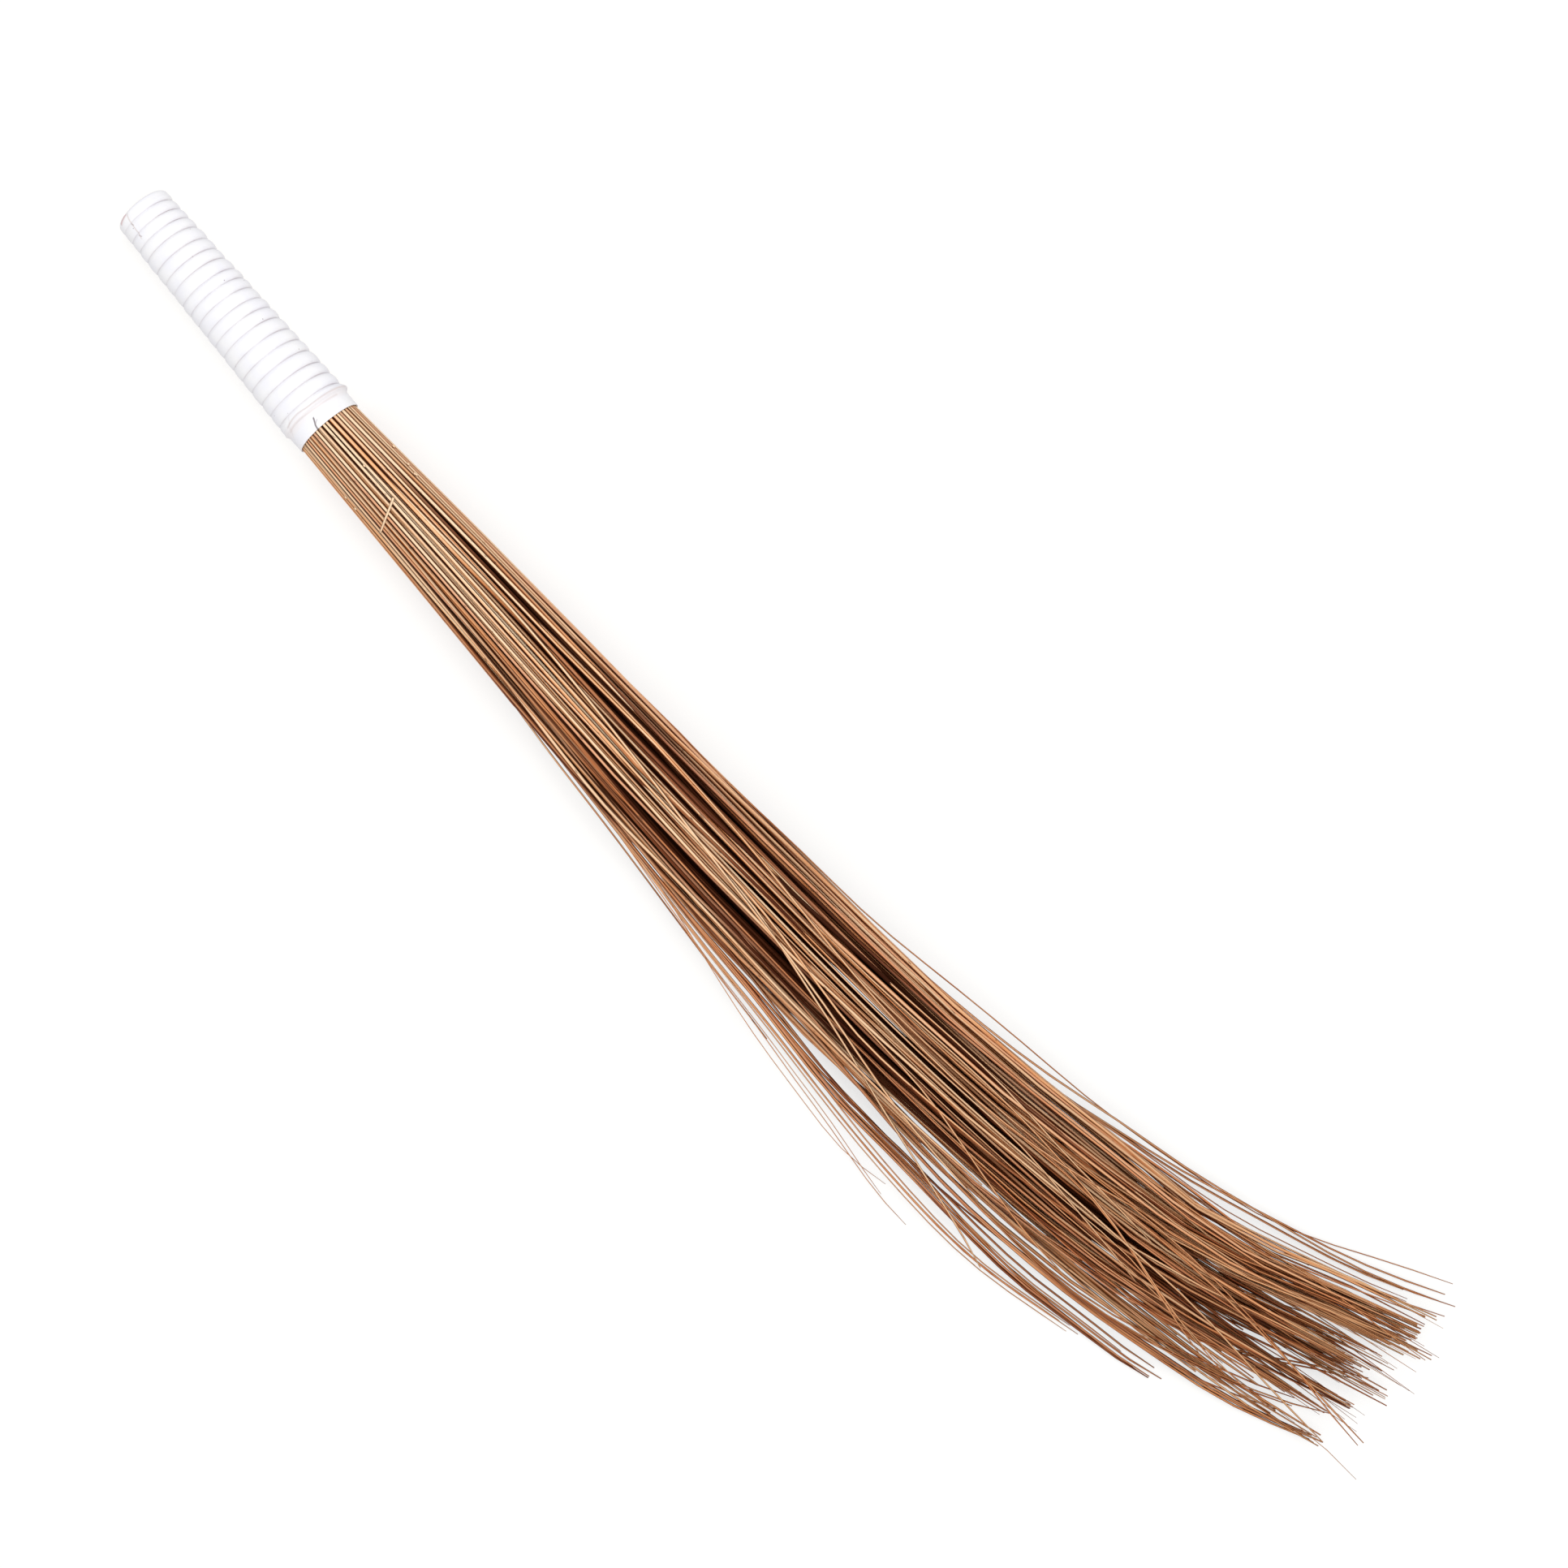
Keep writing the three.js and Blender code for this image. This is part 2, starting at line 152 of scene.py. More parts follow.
class Nodes:
    """A material's node tree, with short calls for the nodes that the finishes share."""

    def __init__(self, name: str) -> None:
        """Makes the named material with its shader and output."""
        self.material = bpy.data.materials.new(name)
        self.material.use_nodes = True
        self.tree = self.material.node_tree
        self.tree.nodes.clear()
        self.output = self.tree.nodes.new("ShaderNodeOutputMaterial")
        self.shader = self.tree.nodes.new("ShaderNodeBsdfPrincipled")
        self.tree.links.new(self.shader.outputs["BSDF"], self.output.inputs["Surface"])

    def add(self, kind: str, **settings: object) -> bpy.types.Node:
        """Adds a node, its kind named without the word ShaderNode, and sets its properties."""
        node = self.tree.nodes.new("ShaderNode" + kind)
        for key, value in settings.items():
            setattr(node, key, value)
        return node

    def link(self, source: Socket, target: Socket) -> None:
        """Joins two sockets."""
        self.tree.links.new(source, target)

    def feed(self, source: Socket, name: str) -> None:
        """Joins a value to the shader's socket of that name."""
        self.link(source, self.shader.inputs[name])

    def attribute(self, name: str) -> bpy.types.Node:
        """Reads a mesh attribute."""
        return self.add("Attribute", attribute_name=name)

    def skin(self, name: str) -> Socket:
        """Reads a piece's own UV map."""
        return self.add("UVMap", uv_map=name).outputs["UV"]

    def place(self) -> Socket:
        """Reads the place on the object."""
        return self.add("TexCoord").outputs["Object"]

    def split(self, source: Socket, kind: str, names: tuple[str, ...]) -> tuple[Socket, ...]:
        """Takes a vector or a colour apart with the named kind of node, and returns the outputs asked for."""
        node = self.add(kind)
        self.link(source, node.inputs[0])
        return tuple(node.outputs[name] for name in names)

    def noise(self, source: Socket, scale: float | Triple, detail: float, rough: float) -> Socket:
        """Adds a noise pattern: its scale is one number or one for each axis, and rough its fine octaves' strength."""
        if isinstance(scale, tuple):
            source, scale = self.scaled(source, scale), 1.0
        node = self.add("TexNoise")
        for name, value in (("Scale", scale), ("Detail", detail), ("Roughness", rough)):
            node.inputs[name].default_value = value
        self.link(source, node.inputs["Vector"])
        return node.outputs["Fac"]

    def scaled(self, source: Socket, scale: Triple) -> Socket:
        """Scales coordinates along each axis."""
        node = self.add("Mapping")
        node.inputs["Scale"].default_value = scale
        self.link(source, node.inputs["Vector"])
        return node.outputs["Vector"]

    def math(self, operation: str, first: Socket | float, second: Socket | float) -> Socket:
        """Works out one value from two, each a socket or a number."""
        node = self.add("Math", operation=operation)
        for slot, value in enumerate((first, second)):
            if isinstance(value, Socket):
                self.link(value, node.inputs[slot])
            else:
                node.inputs[slot].default_value = value
        return node.outputs[0]

    def times(self, first: Socket, second: Socket | float) -> Socket:
        """Multiplies two values."""
        return self.math("MULTIPLY", first, second)

    def plus(self, first: Socket, second: Socket | float) -> Socket:
        """Adds two values."""
        return self.math("ADD", first, second)

    def span(self, source: Socket, span: Span) -> Socket:
        """Maps a value from a span's first two numbers to its last two, and holds it there."""
        node = self.add("MapRange", clamp=True)
        for slot, value in zip(("From Min", "From Max", "To Min", "To Max"), span):
            node.inputs[slot].default_value = value
        self.link(source, node.inputs["Value"])
        return node.outputs["Result"]

    def ramp(self, source: Socket, stops: Sequence[tuple[float, Colour]]) -> Socket:
        """Colours a value from 0 to 1 by a ramp of places and screen colours."""
        node = self.add("ValToRGB")
        band = node.color_ramp
        while len(band.elements) < len(stops):
            band.elements.new(0.5)
        for element, (place, colour) in zip(band.elements, stops):
            element.position = place
            element.color = linear(*colour)
        self.link(source, node.inputs["Fac"])
        return node.outputs["Color"]

    def over(self, colour: Socket, tint: Colour, share: Socket, blend: str = "MIX") -> Socket:
        """Lays a screen colour over another colour, as much as the share says."""
        node = self.add("Mix", data_type="RGBA", blend_type=blend)
        under, upper = (slot for slot in node.inputs if slot.type == "RGBA")
        self.link(share, node.inputs[0])
        self.link(colour, under)
        upper.default_value = linear(*tint)
        return next(slot for slot in node.outputs if slot.type == "RGBA")

    def line(self, along: Socket, across: Socket, knots: Knots, width: float) -> Socket:
        """Draws a soft line on a surface.

        Args:
            along: The coordinate that the line runs along, from 0 to 1.
            across: The coordinate across it, from 0 to 1.
            knots: The line's points as places along and across.
            width: How far across the line fades out.

        Returns:
            1 on the line and 0 away from it.
        """
        node = self.add("FloatCurve")
        curve = node.mapping.curves[0]
        first, last = knots[0][0], knots[-1][0]
        curve.points[0].location = knots[0]
        curve.points[1].location = knots[-1]
        for knot in knots[1:-1]:
            curve.points.new(*knot)
        node.mapping.update()
        self.link(along, node.inputs["Value"])
        off = self.math("ABSOLUTE", self.math("SUBTRACT", across, node.outputs["Value"]), 0.0)
        mask = self.span(off, (width * 0.25, width, 1.0, 0.0))
        edge = min(0.01, 0.1 * (last - first))
        mask = self.times(mask, self.span(along, (first - edge, first, 0.0, 1.0)))
        return self.times(mask, self.span(along, (last, last + edge, 1.0, 0.0)))

    def bump(self, height: Socket, distance: float, strength: float) -> None:
        """Gives the shader a bump, whose height of 1 stands for the distance in millimetres."""
        node = self.add("Bump")
        node.inputs["Distance"].default_value = distance * MM
        node.inputs["Strength"].default_value = strength
        self.link(height, node.inputs["Height"])
        self.feed(node.outputs["Normal"], "Normal")


@dataclass(frozen=True)
class MidribFinish:
    """Dried palm midrib: long pale and dark streaks, leaf scars, a browner colour at the tips, and painted light.

    Each span turns a pattern or an attribute into what it is named for. A stick's colours run from dark to pale
    by its tone and by a painted highlight on its side that faces the lamp. Painted shade darkens its flanks and the
    sticks deep in the bundle, and how deep the painted shade goes changes along the broom. The pale threads are
    painted highlights.
    """

    name: str = "palm_midrib"
    dark: Colour = (112, 50, 18)
    brown: Colour = (206, 122, 60)
    tan: Colour = (250, 184, 126)
    pale: Colour = (255, 224, 186)
    stops: Floats = (0.0, 0.34, 0.68, 1.0)
    rose: Colour = (244, 182, 142)
    tip: Colour = (214, 180, 144)
    # Painted shade: the shade colour warms and the gap colour darkens the flanks and the sticks deep in the bundle.
    shade: Colour = (228, 166, 118)
    gap: Colour = (46, 19, 7)
    scar: Colour = (84, 46, 26)
    # Painted highlight: the glint colour lies along pale threads on the sticks.
    glint: Colour = (255, 234, 194)
    streak_scale: Triple = (1500, 9, 1)
    thread_scale: Triple = (2600, 16, 1)
    blotch_scale: Triple = (220, 22, 1)
    spot_scale: Triple = (700, 160, 1)
    streak_tone: Span = (0.3, 0.7, -0.3, 0.3)
    blotch_tone: Span = (0.3, 0.7, -0.14, 0.14)
    # Painted highlight: the side of a stick that faces the lamp is made paler, by the crest attribute.
    painted_highlight_tone: Span = (0.4, 1.0, -0.3, 0.32)
    fresh_tone: Span = (0.18, 0.36, 0.41, 0.0)
    rose_share: Span = (0.62, 1.0, 0.0, 0.7)
    glint_share: Span = (0.58, 0.7, 0.0, 0.7)
    tip_share: Span = (0.35, 1.0, 0.0, 0.8)
    scar_share: Span = (0.66, 0.74, 0.0, 0.75)
    # How steeply the painted shade falls off, near the handle and towards the tips.
    near_shade_power: Span = (0.28, 0.5, 4.0, 2.0)
    far_shade_power: Span = (0.6, 0.76, 0.0, 0.35)
    shade_share: Span = (0.0, 1.0, 0.9, 0.0)
    painted_gap_shade_share: Span = (0.0, 1.0, 0.97, 0.0)
    roughness: Span = (0.3, 0.7, 0.42, 0.62)
    specular: Span = (0.0, 1.0, 0.04, 0.34)
    spot_height: float = 0.6
    bump_height: float = 0.25
    bump_strength: float = 0.55

    def material(self) -> bpy.types.Material:
        """Builds the finish.

        Returns:
            The material.
        """
        nodes = Nodes(self.name)
        skin = nodes.skin("skin")
        midrib = nodes.attribute("midrib")
        tone, along, hue = nodes.split(midrib.outputs["Color"], "SeparateColor", ("Red", "Green", "Blue"))
        # The crest attribute is how much a corner faces the lamp: a painted highlight.
        crest = nodes.attribute("crest").outputs["Fac"]
        streak = nodes.noise(skin, self.streak_scale, 3.0, 0.6)
        thread = nodes.noise(skin, self.thread_scale, 2.0, 0.5)
        blotch = nodes.noise(skin, self.blotch_scale, 3.0, 0.5)
        spot = nodes.noise(skin, self.spot_scale, 2.0, 0.5)
        level = nodes.plus(tone, nodes.span(streak, self.streak_tone))
        level = nodes.plus(level, nodes.span(blotch, self.blotch_tone))
        level = nodes.plus(level, nodes.span(crest, self.painted_highlight_tone))
        level = nodes.plus(level, nodes.span(along, self.fresh_tone))
        colour = nodes.ramp(level, tuple(zip(self.stops, (self.dark, self.brown, self.tan, self.pale))))
        colour = nodes.over(colour, self.rose, nodes.span(hue, self.rose_share))
        # Painted highlight along pale threads.
        colour = nodes.over(colour, self.glint, nodes.span(thread, self.glint_share))
        colour = nodes.over(colour, self.tip, nodes.span(along, self.tip_share), "MULTIPLY")
        colour = nodes.over(colour, self.scar, nodes.span(spot, self.scar_share))
        # Painted shade: the midrib's alpha says how open a corner is; shaded corners go to the gap colour, with less
        # specular.
        depth = nodes.plus(nodes.span(along, self.near_shade_power), nodes.span(along, self.far_shade_power))
        lit = nodes.math("POWER", midrib.outputs["Alpha"], depth)
        colour = nodes.over(colour, self.shade, nodes.span(lit, self.shade_share), "MULTIPLY")
        nodes.feed(nodes.over(colour, self.gap, nodes.span(lit, self.painted_gap_shade_share)), "Base Color")
        nodes.feed(nodes.span(streak, self.roughness), "Roughness")
        nodes.feed(nodes.span(lit, self.specular), "Specular IOR Level")
        nodes.bump(nodes.plus(streak, nodes.times(spot, self.spot_height)), self.bump_height, self.bump_strength)
        return nodes.material


@dataclass(frozen=True)
class FilmFinish:
    """White heat-shrunk film: a soft gloss, grime and painted shade in its grooves, painted shade at its edges,
    a seam, creases, a torn place and a few specks.

    Lines are given by shares of the way along the handle and round it, first the one that they run along.
    """

    name: str = "shrunk_film"
    white: Colour = (254, 253, 254)
    cool: Colour = (250, 249, 254)
    # Grime and painted shade in the grooves, stronger on one side of the handle.
    groove_grime_and_shade: Colour = (176, 158, 164)
    crease: Colour = (206, 184, 176)
    fold: Colour = (246, 238, 238)
    hem: Colour = (214, 168, 166)
    tear: Colour = (96, 76, 80)
    speck: Colour = (150, 132, 134)
    # The edge colour is painted shade where the film turns away from the camera.
    edge: Colour = (206, 208, 218)
    pitch: float = 7.7
    turns: float = 20.0
    seam_line: Knots = ((0.0, 0.570), (0.03, 0.588), (0.06, 0.592), (0.098, 0.60))
    seam_knots: Knots = ((0.047, 0.592), (0.094, 0.598))
    hem_line: Knots = ((0.590, 0.004), (0.62, 0.007), (0.66, 0.012))
    near_crease: Knots = ((0.28, 0.930), (0.4, 0.926), (0.5, 0.923), (0.56, 0.916), (0.64, 0.922))
    far_crease: Knots = ((0.36, 0.944), (0.5, 0.940), (0.58, 0.934), (0.66, 0.938))
    side_crease: Knots = ((0.60, 0.905), (0.64, 0.935), (0.70, 0.975))
    tear_line: Knots = ((0.962, 0.517), (0.975, 0.524), (0.986, 0.531), (1.0, 0.534))
    tear_branch: Knots = ((0.974, 0.509), (0.978, 0.518), (0.983, 0.527))
    line_width: float = 0.006
    crease_width: float = 0.0045
    hem_width: float = 0.008
    branch_width: float = 0.005
    raised_shares: Floats = (0.45, 0.42, 0.25, 0.12)
    hem_share: float = 0.75
    knot_share: float = 0.42
    branch_share: float = 0.6
    tear_share: float = 0.85
    cloud_stops: Pair = (0.35, 0.65)
    patchy_grime_and_shade: Span = (0.35, 0.6, 0.45, 1.0)
    painted_side_shade: Span = (0.66, 0.30, 0.42, 1.0)
    crisp_grime_and_shade: Span = (0.08, 0.5, 0.6, 0.0)
    soft_grime_and_shade: Span = (0.2, 2.2, 0.13, 0.0)
    fold_start: Span = (0.915, 0.93, 0.0, 0.5)
    fold_end: Span = (0.945, 0.96, 1.0, 0.0)
    speck_scale: float = 200.0
    speck_size: Span = (0.05, 0.085, 1.0, 0.0)
    speck_choice: Span = (0.66, 0.70, 0.0, 0.7)
    edge_share: Span = (0.35, 1.0, 0.0, 0.5)
    roughness: Span = (0.3, 0.7, 0.34, 0.5)
    fine_height: float = 0.5
    cloud_height: float = 2.0
    crease_height: float = 1.6
    tear_height: float = 3.0
    bump_height: float = 0.12
    bump_strength: float = 0.5

    def material(self) -> bpy.types.Material:
        """Builds the finish.

        Returns:
            The material.
        """
        nodes = Nodes(self.name)
        place = nodes.place()
        around, along = nodes.split(nodes.skin("skin"), "SeparateXYZ", ("X", "Y"))
        cloud = nodes.noise(place, 90.0, 3.0, 0.5)
        fine = nodes.noise(nodes.scaled(place, (1.0, 0.5, 0.5)), 900.0, 3.0, 0.6)
        colour = nodes.ramp(cloud, tuple(zip(self.cloud_stops, (self.cool, self.white))))
        fold = nodes.times(nodes.span(along, self.fold_start), nodes.span(along, self.fold_end))
        colour = nodes.over(colour, self.fold, fold)
        colour = nodes.over(colour, self.groove_grime_and_shade, self.groove_grime_and_shade_share(nodes, place, around))
        raised = [nodes.line(along, around, self.seam_line, self.line_width)]
        for knots in (self.near_crease, self.far_crease, self.side_crease):
            raised.append(nodes.line(around, along, knots, self.crease_width))
        for share, mask in zip(self.raised_shares, raised):
            colour = nodes.over(colour, self.crease, nodes.times(mask, share))
        hem = nodes.line(around, along, self.hem_line, self.hem_width)
        colour = nodes.over(colour, self.hem, nodes.times(hem, self.hem_share))
        for spot, side in self.seam_knots:
            ends = ((spot - 0.006, side + 0.004), (spot + 0.006, side - 0.006))
            knot = nodes.line(along, around, ends, self.line_width)
            colour = nodes.over(colour, self.speck, nodes.times(knot, self.knot_share))
        branch = nodes.line(along, around, self.tear_branch, self.branch_width)
        tear = nodes.line(along, around, self.tear_line, self.line_width)
        tear = nodes.math("MAXIMUM", tear, nodes.times(branch, self.branch_share))
        colour = nodes.over(colour, self.tear, nodes.times(tear, self.tear_share))
        colour = nodes.over(colour, self.speck, self.specks(nodes, place))
        # Painted shade: the edge colour grows where the film turns away from the camera.
        grazing_shade = nodes.add("LayerWeight")
        grazing_shade.inputs["Blend"].default_value = 0.5
        nodes.feed(nodes.over(colour, self.edge, nodes.span(grazing_shade.outputs["Facing"], self.edge_share)), "Base Color")
        nodes.feed(nodes.span(fine, self.roughness), "Roughness")
        height = nodes.plus(nodes.times(fine, self.fine_height), nodes.times(cloud, self.cloud_height))
        for mask in raised:
            height = nodes.plus(height, nodes.times(mask, self.crease_height))
        height = nodes.math("SUBTRACT", height, nodes.times(tear, self.tear_height))
        nodes.bump(height, self.bump_height, self.bump_strength)
        return nodes.material

    def groove_grime_and_shade_share(self, nodes: Nodes, place: Socket, around: Socket) -> Socket:
        """Finds the grime and painted shade in the grooves: a crisp line, a soft one round it, more on one side."""
        winding, ribbed = nodes.split(nodes.skin("winding"), "SeparateXYZ", ("X", "Y"))
        patch = nodes.noise(place, 55.0, 2.0, 0.5)
        phase = nodes.math("FRACT", nodes.times(winding, self.turns), 0.0)
        near = nodes.times(nodes.math("PINGPONG", phase, 0.5), self.pitch)
        grime_and_shade_strength = nodes.times(nodes.span(around, self.painted_side_shade), ribbed)
        grime_and_shade_strength = nodes.times(nodes.span(patch, self.patchy_grime_and_shade), grime_and_shade_strength)
        crisp, soft = (nodes.times(nodes.span(near, span), grime_and_shade_strength) for span in (self.crisp_grime_and_shade, self.soft_grime_and_shade))
        return nodes.plus(crisp, soft)

    def specks(self, nodes: Nodes, place: Socket) -> Socket:
        """Scatters a few specks over the film."""
        cells = nodes.add("TexVoronoi", feature="F1")
        cells.inputs["Scale"].default_value = self.speck_scale
        nodes.link(place, cells.inputs["Vector"])
        chosen = nodes.split(cells.outputs["Color"], "SeparateColor", ("Red",))[0]
        close = nodes.span(cells.outputs["Distance"], self.speck_size)
        return nodes.times(close, nodes.span(chosen, self.speck_choice))


@dataclass(frozen=True)
class CordFinish:
    """Twisted natural fibre cord: slanting plies with a fuzzy, uneven colour."""

    name: str = "twisted_cord"
    shade: Colour = (176, 158, 128)
    light: Colour = (226, 212, 186)
    stops: Pair = (0.1, 0.8)
    ply_scale: Triple = (120, 120, 1)
    ply_bend: float = 0.6
    fuzz_scale: Triple = (900, 900, 1)
    ply_share: float = 0.6
    fuzz_share: float = 0.5
    roughness: Span = (0.2, 0.8, 0.8, 0.95)
    bump_height: float = 0.4
    bump_strength: float = 0.7

    def material(self) -> bpy.types.Material:
        """Builds the finish."""
        nodes = Nodes(self.name)
        skin = nodes.skin("skin")
        plies = nodes.add("TexWave", wave_type="BANDS", bands_direction="DIAGONAL")
        plies.inputs["Scale"].default_value = 1.0
        plies.inputs["Distortion"].default_value = self.ply_bend
        nodes.link(nodes.scaled(skin, self.ply_scale), plies.inputs["Vector"])
        fuzz = nodes.noise(skin, self.fuzz_scale, 4.0, 0.6)
        level = nodes.plus(nodes.times(plies.outputs["Fac"], self.ply_share), nodes.times(fuzz, self.fuzz_share))
        nodes.feed(nodes.ramp(level, tuple(zip(self.stops, (self.shade, self.light)))), "Base Color")
        nodes.feed(nodes.span(fuzz, self.roughness), "Roughness")
        nodes.bump(level, self.bump_height, self.bump_strength)
        return nodes.material


@dataclass(frozen=True)
class WireFinish:
    """Annealed binding wire: dull grey metal with faint draw lines and dark patches."""

    name: str = "binding_wire"
    dark: Colour = (96, 94, 94)
    light: Colour = (176, 176, 180)
    stops: Pair = (0.3, 0.7)
    patch_scale: float = 260.0
    line_scale: float = 2600.0
    line_stretch: Triple = (1.0, 0.15, 0.15)
    roughness: Span = (0.3, 0.7, 0.5, 0.3)
    bump_height: float = 0.03
    bump_strength: float = 0.4

    def material(self) -> bpy.types.Material:
        """Builds the finish."""
        nodes = Nodes(self.name)
        place = nodes.place()
        patch = nodes.noise(place, self.patch_scale, 4.0, 0.6)
        lines = nodes.noise(nodes.scaled(place, self.line_stretch), self.line_scale, 2.0, 0.5)
        nodes.feed(nodes.ramp(patch, tuple(zip(self.stops, (self.dark, self.light)))), "Base Color")
        nodes.shader.inputs["Metallic"].default_value = 1.0
        nodes.feed(nodes.span(patch, self.roughness), "Roughness")
        nodes.bump(lines, self.bump_height, self.bump_strength)
        return nodes.material


@dataclass(frozen=True)
class FloorFinish:
    """A plain white floor: it reads as white where the light falls and keeps the broom's soft shadow.

    Its glow grows with the distance from the broom, so that the floor has no grey edge in low views.
    """

    name: str = "plain_floor"
    paint: Colour = (238, 235, 230)
    grain: Colour = (200, 200, 200)
    grain_scale: float = 40.0
    grain_share: Span = (0.3, 0.7, 0.0, 0.03)
    own_share: float = 0.44
    glow: Span = (1.1, 3.0, 1.2, 1.55)

    def material(self) -> bpy.types.Material:
        """Builds the finish."""
        nodes = Nodes(self.name)
        place = nodes.place()
        grain = nodes.noise(place, self.grain_scale, 3.0, 0.5)
        paint = nodes.ramp(grain, ((0.0, self.paint), (1.0, self.paint)))
        nodes.feed(nodes.over(paint, self.grain, nodes.span(grain, self.grain_share), "MULTIPLY"), "Base Color")
        nodes.shader.inputs["Roughness"].default_value = 0.9
        nodes.shader.inputs["Specular IOR Level"].default_value = 0.0
        light = nodes.add("Emission")
        light.inputs["Color"].default_value = WHITE
        away = nodes.add("VectorMath", operation="LENGTH")
        nodes.link(place, away.inputs[0])
        nodes.link(nodes.span(away.outputs["Value"], self.glow), light.inputs["Strength"])
        seen, final = nodes.add("MixShader"), nodes.add("MixShader")
        seen.inputs["Fac"].default_value = 1 - self.own_share
        path = nodes.add("LightPath").outputs
        direct = nodes.math("MAXIMUM", path["Is Camera Ray"], path["Is Glossy Ray"])
        nodes.link(nodes.math("MAXIMUM", direct, path["Is Transmission Ray"]), final.inputs["Fac"])
        for mixed, upper in ((seen, light.outputs["Emission"]), (final, seen.outputs["Shader"])):
            nodes.link(nodes.shader.outputs["BSDF"], mixed.inputs[1])
            nodes.link(upper, mixed.inputs[2])
        nodes.link(final.outputs["Shader"], nodes.output.inputs["Surface"])
        return nodes.material


# The photograph's view


@dataclass(frozen=True)
class PhotoView:
    """The camera that took the photograph: straight down from above, in the photograph's own pixels."""

    picture: float = 1932.0
    focal: float = 3500.0
    sensor: float = 36.0
    turn: float = math.radians(49.40)
    start: Pair = (165.7, 247.5)
    start_back: float = 4.56
    level: float = 20.0
    scale: float = 0.45
    clip_end: float = 100.0

    @property
    def right(self) -> np.ndarray:
        """The picture's rightward direction in the broom's frame."""
        return np.array([math.cos(self.turn), math.sin(self.turn), 0.0])

    @property
    def down(self) -> np.ndarray:
        """The picture's downward direction in the broom's frame."""
        return np.array([math.sin(self.turn), -math.cos(self.turn), 0.0])

    @property
    def distance(self) -> float:
        """How far the camera is from the plane where the scale holds, in millimetres."""
        return self.focal * self.scale

    @property
    def eye(self) -> np.ndarray:
        """The camera's place in millimetres."""
        middle = self.picture / 2
        shift = (middle - self.start[0]) * self.right + (middle - self.start[1]) * self.down
        root = np.array([SLEEVE_LOW.x - self.start_back, (SLEEVE_LOW.y + SLEEVE_HIGH.y) / 2, 0.0])
        return root + shift * self.scale + UP * (self.level + self.distance)

    def at(self, across: float, down: float, height: float) -> np.ndarray:
        """Finds the place in millimetres that the camera sees at a pixel, for a thing at that height."""
        reach = (self.eye[2] - height) / self.focal
        middle = self.picture / 2
        place = self.eye + ((across - middle) * self.right + (down - middle) * self.down) * reach
        place[2] = height
        return place

    def camera(self) -> bpy.types.Object:
        """Adds the camera and makes it the scene's."""
        lens = bpy.data.cameras.new("photo_camera")
        lens.sensor_width = self.sensor
        lens.lens = self.sensor * self.focal / self.picture
        lens.clip_end = self.clip_end
        camera = bpy.data.objects.new("photo_camera", lens)
        bpy.context.scene.collection.objects.link(camera)
        axes = [Vector(self.right), Vector(-self.down), Vector(UP)]
        turned = Matrix(axes).transposed().to_4x4()
        camera.matrix_world = Matrix.Translation(Vector(self.eye * MM)) @ turned
        bpy.context.scene.camera = camera
        return camera


# Shapes shared by the sub-assemblies


@dataclass(frozen=True)
class HandleShape:
    """The handle's cone and its winding, in millimetres along X from the butt."""

    butt: float = SLEEVE_LOW.x
    axis: float = (SLEEVE_LOW.y + SLEEVE_HIGH.y) / 2
    length: float = SLEEVE_HIGH.x - SLEEVE_LOW.x
    collar_length: float = 9.8
    ridge_length: float = 5.0
    butt_radius: float = 16.5
    shoulder_radius: float = 21.3
    collar_radius: float = 20.3
    wall: float = 0.8
    rib_height: float = 0.9
    cord_depth: float = 2.2
    clearance: float = 0.3
    flat_depth: float = 0.5
    facet: float = math.cos(math.radians(11.25))
    packed_inset: float = 1.5

    @property
    def winding_end(self) -> float:
        """Where the winding ends."""
        return self.length - self.collar_length - self.ridge_length

    @property
    def packed_end(self) -> float:
        """Where the sticks leave the film."""
        return self.length - self.packed_inset

    @property
    def root(self) -> np.ndarray:
        """The butt's place on the floor in the broom's frame."""
        return np.array([self.butt, self.axis, 0.0])

    def crest(self, along: Amount) -> Amount:
        """The radius over the ribs at a place along the handle."""
        share = np.clip(np.asarray(along) / self.winding_end, 0, 1)
        return self.butt_radius + (self.shoulder_radius - self.butt_radius) * share

    def height(self, along: Amount) -> Amount:
        """The height of the handle's axis at a place along it."""
        return self.crest(along) * self.facet - self.flat_depth

    def bundle(self, along: Amount) -> Amount:
        """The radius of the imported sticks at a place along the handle."""
        under = self.crest(along) - self.wall - self.cord_depth - 2 * self.clearance
        packed = self.collar_radius - self.wall - self.clearance
        share = (np.asarray(along) - self.winding_end) / (self.packed_end - self.winding_end)
        return under + (packed - under) * np.clip(share, 0, 1)


HANDLE = HandleShape()
PHOTO = PhotoView()


def placed(local: np.ndarray) -> np.ndarray:
    """Moves points from the handle's own lengths to the broom's frame, in metres."""
    return (np.asarray(local) + HANDLE.root) * MM


def deselect() -> None:
    """Leaves nothing selected, in object mode."""
    if bpy.context.object is not None and bpy.context.object.mode != "OBJECT":
        bpy.ops.object.mode_set(mode="OBJECT")
    bpy.ops.object.select_all(action="DESELECT")


def active(piece: bpy.types.Object) -> None:
    """Makes one object the only selected one."""
    deselect()
    piece.select_set(True)
    bpy.context.view_layer.objects.active = piece


def mesh_piece(name: str, corners: np.ndarray, faces: list[tuple[int, ...]]) -> bpy.types.Object:
    """Makes an object from corners in metres, as rows of three numbers, and from faces as corner numbers."""
    mesh = bpy.data.meshes.new(name)
    mesh.from_pydata([tuple(map(float, corner)) for corner in corners], [], faces)
    mesh.validate()
    piece = bpy.data.objects.new(name, mesh)
    bpy.context.scene.collection.objects.link(piece)
    return piece


